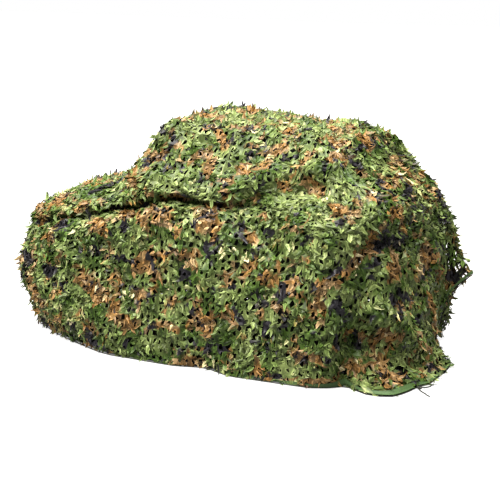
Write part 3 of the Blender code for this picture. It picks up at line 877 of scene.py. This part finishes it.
def string_finish(cords):
    """Dark matt twine, a little uneven."""
    material, tree, finish = new_material("string_mesh", 0.8, 0.2)
    uneven = noise(tree, object_place(tree), 90.0, 4.0)
    colour = mix(tree, uneven, shaded(cords.string_colour, 0.6), cords.string_colour)
    link(tree, colour, finish.inputs["Base Color"])
    return material


def tape_finish(cords):
    """Woven tape: fine cross ribs and a stitched line by each edge, read from places along it."""
    material, tree, finish = new_material("hem_tape", 0.55, 0.25)
    place = attribute(tree, "tape_place").outputs["Vector"]
    parts = parts_of(tree, place)

    def waves(step):
        return math(tree, "SINE", math(tree, "MULTIPLY", parts["X"], 2 * np.pi / step), 0)

    ribs = waves(TAPE_RIB)
    faded = mix(tree, noise(tree, place, 14.0, 4.0), shaded(cords.tape_colour, 0.6),
                shaded(cords.tape_colour, 1.5))
    seam = spread(tree, math(tree, "ABSOLUTE", parts["Y"], 0), 0.70, 0.76)
    stitch = spread(tree, waves(TAPE_STITCH), 0.0, 0.3)
    line = math(tree, "MULTIPLY", math(tree, "MULTIPLY", seam, stitch), 0.6)
    colour = mix(tree, line, faded, shaded(cords.tape_colour, 0.35))
    link(tree, colour, finish.inputs["Base Color"])
    add_bump(tree, finish, ribs, 0.35, 0.0006)
    return material


def cord_finish(cords):
    """Dark laid cord: fibres along it, and deeper shade in the grooves between the strands."""
    material, tree, finish = new_material("cord", 0.7, 0.25)
    fibre = noise(tree, object_place(tree), 420.0, 3.0)
    colour = mix(tree, fibre, shaded(cords.cord_colour, 0.5), shaded(cords.cord_colour, 1.8))
    groove = attribute(tree, "groove").outputs["Fac"]
    colour = mix(tree, math(tree, "MULTIPLY", groove, 0.7), colour, (0.004, 0.004, 0.004))
    link(tree, colour, finish.inputs["Base Color"])
    add_bump(tree, finish, fibre, 0.5, 0.0008)
    return material


def leaves(drape, places, cloth, rng):
    """Leaf meshes at fractional grid places: vertices, faces, where each was cut, a random tone, and rim,
    which marks the edges for a painted highlight.

    A leaf's middle line starts at its root and runs with a heading that bends evenly and a lean
    from the cloth that curls. It keeps its width and then narrows to a blunt tip, and its two
    edges wave apart from each other. It is folded across, and twists along its run."""
    count = len(places)
    root = drape.read(drape.points, places[:, 0], places[:, 1])
    normal = drape.read(drape.normals, places[:, 0], places[:, 1])
    down = drape.read(drape.downs, places[:, 0], places[:, 1])
    normal = unit(normal)
    down = unit(down - normal * np.sum(down * normal, axis=1, keepdims=True))
    side = np.cross(normal, down)

    share = np.linspace(0, 1, LEAF_ROWS)[None]
    length = cloth.leaf_length * rng.uniform(1 - SIZE_SPREAD, 1 + SIZE_SPREAD, (count, 1))
    width = cloth.leaf_width * rng.uniform(1 - SIZE_SPREAD, 1 + SIZE_SPREAD, (count, 1))
    turn = rng.normal(0, LEAF_SPREAD, (count, 1)) + LEAF_SLANT * rng.choice((-1, 1), (count, 1))
    bend = np.radians(rng.uniform(-LEAF_BEND, LEAF_BEND, (count, 1)))
    lean = np.radians(rng.uniform(*LEAF_LEAN, (count, 1)))
    curl = np.radians(rng.uniform(*LEAF_CURL, (count, 1)))
    roll = np.radians(rng.normal(0, LEAF_TWIST / 2, (count, 1)))
    twist = np.radians(rng.uniform(-LEAF_TWIST, LEAF_TWIST, (count, 1)))
    heading = np.radians(turn) + bend * (share - 0.5)
    rise = lean + curl * share**CURL_POWER
    step = length / (LEAF_ROWS - 1)
    run = np.stack([np.cos(rise) * np.cos(heading), np.cos(rise) * np.sin(heading), np.sin(rise)], -1)
    middle = np.cumsum(run, 1) * step[..., None]
    middle[..., 2] += rng.uniform(*ROOT_LIFT, (count, 1)) - middle[:, :1, 2]
    tilt = roll * share + twist * share**2
    edge = np.stack([
        -np.sin(heading) * np.cos(tilt) - np.sin(rise) * np.cos(heading) * np.sin(tilt),
        np.cos(heading) * np.cos(tilt) - np.sin(rise) * np.sin(heading) * np.sin(tilt),
        np.cos(rise) * np.sin(tilt),
    ], -1)
    reach, taper, power = LEAF_TAPER
    body = np.minimum(1, (reach - share) / taper) ** power
    wave = rng.uniform(0, 2 * np.pi, (2, count, 1)) + 2 * np.pi * LEAF_WAVES * share
    left, right = width / 2 * body * (1 + LEAF_WAVE * np.sin(wave))
    cup = np.stack([-np.sin(rise) * np.cos(heading), -np.sin(rise) * np.sin(heading), np.cos(rise)], -1)
    cup = cup * (rng.uniform(-LEAF_CUP, LEAF_CUP, (count, 1)) * width * body)[..., None]
    left, right = middle - edge * left[..., None], middle + edge * right[..., None]
    local = np.stack([left, middle + cup, right], 2).reshape(count, -1, 3)
    flat = local[..., :1] * down[:, None] + local[..., 1:2] * side[:, None]
    spots = root[:, None] + flat + local[..., 2:] * normal[:, None]
    off_floor(spots)

    row = np.arange(LEAF_ROWS - 1)[:, None] * 3
    quads = np.concatenate([row + np.array([[0, 1, 4, 3]]), row + np.array([[1, 2, 5, 4]])])
    faces = quads[None] + (np.arange(count) * LEAF_ROWS * 3)[:, None, None]
    where = root[:, None] + flat * PRINT_FOLLOW
    # A random tone for each leaf, and a rim on both its edges for the painted highlight.
    tone_and_shade = np.repeat(rng.uniform(0, 1, count), LEAF_ROWS * 3)
    rim = np.tile(np.array([1.0, 0.0, 1.0]), count * LEAF_ROWS)
    return spots.reshape(-1, 3), faces.reshape(-1, 4), where.reshape(-1, 3), tone_and_shade, rim


def cut_layer(drape, cells, depth, cut_size, rng, crowd):
    """A layer of the cloth between the leaves: a crumpled grid whose every cell has a cut, turned
    and sized at random. Each cell is four faces between its corners and the cut's. Returns
    vertices, faces by cell, and the cells' fractional grid places."""
    columns, rows = cells
    number = len(drape.points)
    last = number if drape.closed else number - 1
    i = np.linspace(0, last, columns, endpoint=not drape.closed)
    lines = drape.even(rows, crowd)
    j = np.stack([np.interp(i, np.arange(number + 1), np.append(line, line[0])) for line in lines.T], 1)
    i = np.repeat(i[:, None], rows, 1)
    grid = drape.read(drape.points, i.ravel(), j.ravel())
    normal = drape.read(drape.normals, i.ravel(), j.ravel())
    grid = grid + normal * (rng.uniform(-CRUMPLE, CRUMPLE, (len(grid), 1)) - depth)
    grid = grid.reshape(columns, rows, 3)
    wide = np.concatenate([grid, grid[:1]]) if drape.closed else grid
    a, b, c, d = wide[:-1, :-1], wide[:-1, 1:], wide[1:, 1:], wide[1:, :-1]
    middle = np.stack([a, b, c, d], 2).mean(2, keepdims=True)
    half_down, half_along = ((b + c - a - d) / 4)[:, :, None], ((c + d - a - b) / 4)[:, :, None]
    across, down = middle.shape[:2]
    turn = rng.uniform(-CUT_TURN, CUT_TURN, (across, down, 1)) + np.pi / 4 * np.array([-3, -1, 1, 3])
    size = rng.uniform(*cut_size, (across, down, 1, 1))
    turn = turn[..., None]
    inner = middle + size * (np.cos(turn) * half_down + np.sin(turn) * half_along * CUT_SLIM)
    inner = inner + rng.uniform(-CRUMPLE, CRUMPLE, (across, down, 4, 1)) / 2
    here = np.arange(across)[:, None] * rows + np.arange(down)[None]
    there = (np.arange(across)[:, None] + 1) % columns * rows + np.arange(down)[None]
    outside = np.stack([here, here + 1, there + 1, there], 2)
    inside = columns * rows + np.arange(across * down * 4).reshape(across, down, 4)
    faces = np.stack([outside, np.roll(outside, -1, 2), np.roll(inside, -1, 2), inside], -1)
    spots = np.vstack([grid.reshape(-1, 3), inner.reshape(-1, 3)])
    off_floor(spots)
    return spots, faces, i[:across, :down], j[:across, :down]


def cut_sheet(drape, cells, rng, crowd=1.0):
    """The layers of the cut sheet: vertices, faces by layer and cell, the cells' grid places, and each
    vertex's tone, random in front and painted shade behind, and rim, which is 1 along the cuts and marks
    them for a painted highlight."""
    layers = [
        cut_layer(drape, cells, depth, cut_size, rng, crowd) for depth, cut_size, tones_and_shades in LAYERS
    ]
    starts = np.cumsum([0] + [len(layer[0]) for layer in layers])
    spots = np.vstack([layer[0] for layer in layers])
    faces = np.stack([layer[1] + start for layer, start in zip(layers, starts)])
    tone_and_shade = np.concatenate([
        rng.uniform(*tones_and_shades, len(layer[0])) for layer, (depth, cut_size, tones_and_shades) in zip(layers, LAYERS)
    ])
    rim = np.concatenate([np.arange(len(layer[0])) >= cells[0] * cells[1] for layer in layers]) * 1.0
    around, along = (np.stack([layer[part] for layer in layers]) for part in (2, 3))
    return spots, faces, around, along, tone_and_shade, rim


def leaning(spots):
    """How the soft patches pull the print at points: a bell curve about each patch's centre."""
    pull = np.zeros((len(spots), 3))
    for kind, centre, radius in PATCHES:
        bell = np.exp(-np.sum((spots - centre) ** 2, axis=1) / radius**2)
        pull += bell[:, None] * np.array(LEANS[kind])
    return pull


def garnish_panel(name, sheet, kept, leaf, material):
    """A panel of garnish: the kept cells of the cut sheet, joined with leaves."""
    used, faces = np.unique(sheet[1][kept].reshape(-1, 4), return_inverse=True)
    spots = sheet[0][used]
    leaf_spots, leaf_faces, where, tone_and_shade, rim = leaf
    faces = np.vstack([faces.reshape(-1, 4), leaf_faces + len(spots)])
    piece = new_piece(name, np.vstack([spots, leaf_spots]), faces, material)
    set_attribute(piece, "cut_place", "FLOAT_VECTOR", np.vstack([spots, where]))
    set_attribute(piece, "lean", "FLOAT_VECTOR", leaning(np.vstack([spots, where])))
    set_attribute(piece, "tone_and_shade", "FLOAT", np.concatenate([sheet[4][used], tone_and_shade]))
    set_attribute(piece, "rim", "FLOAT", np.concatenate([sheet[5][used], rim]))
    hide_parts("net")
    return piece


def strings(points, normals, width, closed):
    """Flat strings along both ways of a grid: each step is a narrow quad in the cloth's plane."""
    parts = []
    for way in (0, 1):
        ends = np.roll(points, -1, axis=way)
        raised = normals
        if way == 1 or not closed:
            keep = (slice(None),) * way + (slice(None, -1),)
            starts, ends, raised = points[keep], ends[keep], normals[keep]
        else:
            starts = points
        aside = np.cross(raised, ends - starts)
        aside *= width / 2 / np.maximum(np.linalg.norm(aside, axis=2, keepdims=True), 1e-9)
        quad = np.stack([starts - aside, starts + aside, ends + aside, ends - aside], 2)
        quad = quad.reshape(-1, 4, 3)
        parts.append(quad[np.linalg.norm(quad[:, 0] - quad[:, 3], axis=1) > width])
    spots = np.vstack(parts).reshape(-1, 3)
    return spots, np.arange(len(spots)).reshape(-1, 4)


def grid_faces(rows, sides, closed, tube):
    """Quads between the vertices of a grid of rows with so many sides each: closed joins the last
    row to the first, and tube joins each row's last vertex to its first."""
    here = np.arange(rows if closed else rows - 1)[:, None] * sides
    there = (np.arange(len(here))[:, None] + 1) % rows * sides
    side = np.arange(sides if tube else sides - 1)[None]
    after = (side + 1) % sides
    return np.stack([here + side, there + side, there + after, here + after], -1).reshape(-1, 4)


def rope(path, radius, closed):
    """A laid cord along a path: a round section with three lobes, which turns once in each lay of
    its length. Returns vertices, faces and how deep each vertex is in a groove."""
    if closed:
        along = np.roll(path, -1, axis=0) - np.roll(path, 1, axis=0)
        steps = np.linalg.norm(np.roll(path, -1, axis=0) - path, axis=1)
        run = np.concatenate([[0], np.cumsum(steps)[:-1]])
        turns = max(1, round(steps.sum() / ROPE_LAY)) / steps.sum()
    else:
        along = np.gradient(path, axis=0)
        run = run_along(path)
        turns = 1 / ROPE_LAY
    along = unit(along)
    aside = unit(np.cross(along, [0, 0, 1]))
    over = np.cross(aside, along)
    angle = np.linspace(0, 2 * np.pi, ROPE_SIDES, endpoint=False)[None]
    lobe = np.abs(np.cos(1.5 * (angle - 2 * np.pi * turns * run[:, None])))
    reach = (radius * (1 - STRAND_DEPTH * (1 - lobe)))[..., None]
    angle = angle[..., None]
    spots = path[:, None] + reach * (np.cos(angle) * aside[:, None] + np.sin(angle) * over[:, None])
    count = len(path)
    spots, groove = spots.reshape(-1, 3), 1 - lobe.ravel()
    faces = list(grid_faces(count, ROPE_SIDES, closed, True))
    if not closed:
        last = (count - 1) * ROPE_SIDES
        faces += [np.arange(ROPE_SIDES), last + np.arange(ROPE_SIDES)[::-1]]
    return spots, faces, groove


def frays(tip, heading, rng):
    """Loose threads at a cord's end: thin square tubes that fan out from the tip about its heading
    and sink to the floor, each on a curve that bends evenly and narrows to its end."""
    share = np.linspace(0, 1, FRAY_ROWS)[None]
    turn = heading + rng.uniform(-FRAY_FAN, FRAY_FAN, (FRAY_COUNT, 1))
    turn = turn + rng.uniform(-FRAY_BEND, FRAY_BEND, (FRAY_COUNT, 1)) * share
    step = rng.uniform(*FRAY_LENGTH, (FRAY_COUNT, 1)) / (FRAY_ROWS - 1)
    start = rng.uniform(-0.6, 0.6, (FRAY_COUNT, 2)) * TIE_RADIUS
    x = tip[0] + start[:, :1] + np.cumsum(np.cos(turn), 1) * step
    y = tip[1] + start[:, 1:] + np.cumsum(np.sin(turn), 1) * step
    z = FLOOR_GAP / 2 + (tip[2] - FLOOR_GAP / 2) * (1 - share) ** 2 + 0 * turn
    middle = np.stack([x, y, z], -1)
    aside = np.stack([-np.sin(turn), np.cos(turn), 0 * turn], -1)[:, :, None]
    over = np.array([0, 0, 1.0])[None, None, None]
    angle = (np.pi / 2 * np.arange(4))[None, None, :, None]
    reach = (FRAY_RADIUS * (1 - 0.6 * share))[..., None, None]
    spots = middle[:, :, None] + reach * (np.cos(angle) * aside + np.sin(angle) * over)
    ends = np.array([[0, 1, 2, 3], [3, 2, 1, 0]]) + np.array([[0], [(FRAY_ROWS - 1) * 4]])
    quads = np.vstack([grid_faces(FRAY_ROWS, 4, False, True), ends])
    faces = quads[None] + (np.arange(FRAY_COUNT) * FRAY_ROWS * 4)[:, None, None]
    return spots.reshape(-1, 3), faces.reshape(-1, 4)


class NETTING_OT_camera(bpy.types.Operator):
    """Set the camera to the photograph's view"""

    bl_idname = "netting.camera"
    bl_label = "Camera"

    def execute(self, context):
        studio = context.scene.netting_studio
        level = np.cos(studio.elevation)
        turn = studio.azimuth
        back = Vector((np.sin(turn) * level, -np.cos(turn) * level, np.sin(studio.elevation)))
        lens = bpy.data.cameras.new("camera")
        lens.lens = studio.lens
        lens.sensor_width = SENSOR
        lens.shift_x, lens.shift_y = SHIFT
        eye = bpy.data.objects.new("camera", lens)
        eye.location = Vector(LOOK_AT) + back * studio.distance
        eye.rotation_euler = (-back).to_track_quat("-Z", "Y").to_euler()
        context.scene.collection.objects.link(eye)
        context.scene.camera = eye
        return {"FINISHED"}


class NETTING_OT_cords(bpy.types.Operator):
    """Make the corner tie's knot, free ends and frayed threads, and finish the edge cord"""

    bl_idname = "netting.cords"
    bl_label = "Edge cord and tie"

    def execute(self, context):
        rng = np.random.default_rng(SEED)
        finish = cord_finish(context.scene.netting_cords)
        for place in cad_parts["edge_cord"].material_slots:
            place.material = finish
        centre = skirt_points(np.array([TIE_PLACE]), np.array([float(HEM)]))[0]
        centre = centre + outwards(np.array(KNOT_HEADING)) * KNOT_OUT
        centre[2] = KNOT_SCALE + KNOT_RADIUS
        turn = np.linspace(0, 2 * np.pi, KNOT_ROWS, endpoint=False)
        x, y = np.sin(turn) + 2 * np.sin(2 * turn), np.cos(turn) - 2 * np.cos(2 * turn)
        reach, bearing = np.hypot(x, y), np.arctan2(y, x) + np.radians(KNOT_HEADING - 90)
        loops = np.stack([reach * np.cos(bearing), reach * np.sin(bearing), -np.sin(3 * turn)], -1)
        spots, faces, groove = rope(centre + KNOT_SCALE * loops, KNOT_RADIUS, True)
        knot = new_piece("tie_knot_rope", spots, faces, finish, True)
        set_attribute(knot, "groove", "FLOAT", groove)
        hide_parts("tie_knot")
        for name, length, points in TIE_ENDS:
            rows = np.linspace(0, len(points) - 1, END_ROWS)
            path = centre + smooth(np.arange(len(points)), np.array(points), rows)
            spots, faces, groove = rope(path, TIE_RADIUS, False)
            end = new_piece(name + "_rope", spots, faces, finish, True)
            set_attribute(end, "groove", "FLOAT", groove)
            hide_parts(name)
            way = path[-1] - path[-4]
            spots, faces = frays(path[-1], np.arctan2(way[1], way[0]), rng)
            threads = new_piece(name + "_frays", spots, faces, finish)
        return {"FINISHED"}


class NETTING_OT_garnish(bpy.types.Operator):
    """Lay the leaf-cut garnish over the drape, in five panels, with its string mesh and hem tape"""

    bl_idname = "netting.garnish"
    bl_label = "Garnish, string mesh and hem tape"

    def execute(self, context):
        rng = np.random.default_rng(SEED)
        cloth, cords = context.scene.netting_cloth, context.scene.netting_cords
        finish = garnish_finish(cloth)
        mesh, tape = self.string_mesh(cords), self.hem_tape(cords)
        sheet = cut_sheet(TOP_CLOTH, TOP_CELLS, rng)
        places = TOP_CLOTH.rows(cloth.leaf_pitch, rng)
        everything = np.ones(sheet[1].shape[:3], bool)
        leaf = leaves(TOP_CLOTH, places, cloth, rng)
        top = garnish_panel("garnish_top", sheet, everything, leaf, finish)
        ring = np.linspace(0, HEM, SKIRT_CLOTH.points.shape[1])[1:]
        more, rings, shares = CROWD
        crowd = 1 + more * np.interp(ring, rings, shares)
        sheet = cut_sheet(SKIRT_CLOTH, SKIRT_CELLS, rng, crowd)
        places = SKIRT_CLOTH.rows(cloth.leaf_pitch, rng)
        thin = thinness(place_of(places[:, 0]), places[:, 1] / RING_STEPS)
        roots = SKIRT_CLOTH.read(SKIRT_CLOTH.points, places[:, 0], places[:, 1])
        places = places[(rng.random(len(places)) >= thin) & ~opened(roots, HOLE_RIM)]
        around = place_of(places[:, 0])
        cell_around = place_of(sheet[2])
        thin = thinness(cell_around, sheet[3] / RING_STEPS)
        whole = (rng.random(thin.shape) >= thin) | (thin == 1)
        whole &= ~opened(sheet[0][sheet[1][..., 0]].mean(3))
        for name, first, last, wide, long in GARNISH_PANELS:
            inside = (around - first) % len(ZONES) < last - first
            kept = ((cell_around - first) % len(ZONES) < last - first) & whole
            leaf = leaves(SKIRT_CLOTH, places[inside], cloth, rng)
            piece = garnish_panel(name, sheet, kept, leaf, finish)
        return {"FINISHED"}

    def string_mesh(self, cords):
        """The dark string mesh that the garnish is clipped to, a little inside it."""
        grids = []
        for drape, (wide, long) in ((SKIRT_CLOTH, STRING_EVERY), (TOP_CLOTH, TOP_STRING_EVERY)):
            inside = (drape.points - drape.normals * STRING_DEPTH)[::wide, ::long]
            off_floor(inside)
            grids.append(strings(inside, drape.normals[::wide, ::long], cords.string_width, drape.closed))
        (spots, faces), (more, more_faces) = grids
        piece = new_piece("string_mesh", np.vstack([spots, more]),
                          np.vstack([faces, more_faces + len(spots)]), string_finish(cords))
        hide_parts("net")
        return piece

    def hem_tape(self, cords):
        """The tape sewn round the hem: a strip of even width up from the hem's line, under the
        cloth but over it at the rear. Its places are metres along it and -1 to 1 across it."""
        across = np.linspace(-1, 1, TAPE_ROWS)
        width = cords.tape_width * (1 + TAPE_CORNER * within(*TAPE_CORNER_SPAN, AROUND, 0.25))
        j = SKIRT_CLOTH.above_hem((across[None] + 1) / 2 * width[:, None])
        i = np.repeat(np.arange(len(j), dtype=float)[:, None], TAPE_ROWS, 1)
        spots = SKIRT_CLOTH.read(SKIRT_CLOTH.points, i.ravel(), j.ravel())
        seen = within(*TAPE_SEEN_SPAN, place_of(i.ravel()))[:, None]
        out = TAPE_LIFT[0] + (TAPE_LIFT[1] - TAPE_LIFT[0]) * seen
        spots = spots + SKIRT_CLOTH.read(SKIRT_CLOTH.normals, i.ravel(), j.ravel()) * out
        off_floor(spots)
        run = run_along(spots.reshape(len(j), TAPE_ROWS, 3)[:, 0])
        faces = grid_faces(len(j), TAPE_ROWS, True, False)
        piece = new_piece("hem_tape", spots, faces, tape_finish(cords), True)
        place = np.stack([np.repeat(run[:, None], TAPE_ROWS, 1), np.repeat(across[None], len(j), 0),
                          np.zeros((len(j), TAPE_ROWS))], -1)
        set_attribute(piece, "tape_place", "FLOAT_VECTOR", place)
        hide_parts("net")
        return piece


class NETTING_OT_stage(bpy.types.Operator):
    """Set the white floor, the studio's surround and the soft overhead light"""

    bl_idname = "netting.stage"
    bl_label = "Floor and light"

    def execute(self, context):
        studio = context.scene.netting_studio
        self.floor()
        self.surround(context)
        lamp = bpy.data.lights.new("key", "SUN")
        lamp.energy = studio.key_strength
        lamp.angle = studio.key_spread
        lamp.color = KEY_COLOUR
        key = bpy.data.objects.new("key", lamp)
        key.location = KEY_FROM
        key.rotation_euler = (-Vector(KEY_FROM)).to_track_quat("-Z", "Y").to_euler()
        context.scene.collection.objects.link(key)
        context.scene.view_settings.view_transform = "Standard"
        return {"FINISHED"}

    def floor(self):
        """Rings about the hem's outline, whose glow paints the shadow: no glow under the net as painted
        shade, less by its hem as a painted contact shadow, and glowing white further out. Where the hem
        hangs free, the painted shade stays further in."""
        hem = SKIRT_CLOTH.points[::COLUMN_STEPS, -1]
        raised = np.clip(hem[:, 2:] / RAISED_HEM, 0, 1)
        hem = hem * np.array([1, 1, 0])
        middle = hem.mean(0)
        hem = middle + (hem - middle) * (1 - RAISED_PULL * raised)
        spots = middle + (hem - middle) * np.array(FLOOR_REACH)[:, None, None]
        here = np.arange(len(hem))
        ring = np.arange(len(FLOOR_REACH) - 1)[:, None] * len(hem)
        after = (here + 1) % len(hem)
        next_ring = ring + len(hem)
        faces = np.stack([ring + here, ring + after, next_ring + after, next_ring + here], -1)
        mesh = bpy.data.meshes.new("floor")
        mesh.from_pydata(spots.reshape(-1, 3).tolist(), [], faces.reshape(-1, 4).tolist())
        layer = mesh.attributes.new("glow", "FLOAT", "POINT")
        layer.data.foreach_set("value", np.repeat(FLOOR_GLOW, len(hem)).astype(np.float32))
        material, tree, finish = new_material("floor", 0.9, 0.0)
        finish.inputs["Base Color"].default_value = FLOOR_GREY
        finish.inputs["Emission Color"].default_value = WHITE
        seen = tree.nodes.new("ShaderNodeLightPath").outputs["Is Camera Ray"]
        share = spread(tree, seen, 0, 1, FLOOR_FILL, 1.0)
        link(tree, math(tree, "MULTIPLY", attribute(tree, "glow").outputs["Fac"], share),
             finish.inputs["Emission Strength"])
        mesh.materials.append(material)
        floor = bpy.data.objects.new("floor", mesh)
        bpy.context.scene.collection.objects.link(floor)

    def surround(self, context):
        """White where the camera sees it, and a faint fill light elsewhere."""
        world = bpy.data.worlds.new("studio")
        context.scene.world = world
        world.use_nodes = True
        tree = world.node_tree
        tree.nodes.clear()
        seen, lit = tree.nodes.new("ShaderNodeBackground"), tree.nodes.new("ShaderNodeBackground")
        seen.inputs["Color"].default_value = WHITE
        seen.inputs["Strength"].default_value = 1.0
        lit.inputs["Color"].default_value = FILL_COLOUR
        lit.inputs["Strength"].default_value = FILL_STRENGTH
        path = tree.nodes.new("ShaderNodeLightPath")
        join = tree.nodes.new("ShaderNodeMixShader")
        out = tree.nodes.new("ShaderNodeOutputWorld")
        link(tree, path.outputs["Is Camera Ray"], join.inputs[0])
        link(tree, lit.outputs[0], join.inputs[1])
        link(tree, seen.outputs[0], join.inputs[2])
        link(tree, join.outputs[0], out.inputs[0])


OPERATORS = (NETTING_OT_camera, NETTING_OT_cords, NETTING_OT_garnish, NETTING_OT_stage)


class NETTING_PT_sidebar(bpy.types.Panel):
    """The netting's operators and settings"""

    bl_idname = "NETTING_PT_sidebar"
    bl_label = "Netting"
    bl_space_type = "VIEW_3D"
    bl_region_type = "UI"
    bl_category = "Netting"

    def draw(self, context):
        for operator in OPERATORS:
            self.layout.operator(operator.bl_idname)
        for name in GROUPS:
            settings = getattr(context.scene, name)
            for key in settings.bl_rna.properties.keys():
                if key not in ("rna_type", "name"):
                    self.layout.prop(settings, key)


GROUPS = {"netting_cloth": NettingCloth, "netting_cords": NettingCords, "netting_studio": NettingStudio}


def register():
    """Register the classes, and the settings on the scene."""
    for part in (*GROUPS.values(), *OPERATORS, NETTING_PT_sidebar):
        bpy.utils.register_class(part)
    for name, group in GROUPS.items():
        setattr(bpy.types.Scene, name, bpy.props.PointerProperty(type=group))


def unregister():
    """Undo what register does."""
    for name in GROUPS:
        delattr(bpy.types.Scene, name)
    for part in (NETTING_PT_sidebar, *reversed(OPERATORS), *GROUPS.values()):
        bpy.utils.unregister_class(part)


def main():
    """Run the operators in order."""
    register()
    bpy.ops.netting.camera()
    bpy.ops.netting.cords()
    bpy.ops.netting.garnish()
    bpy.ops.netting.stage()


if __name__ == "__main__":
    main()
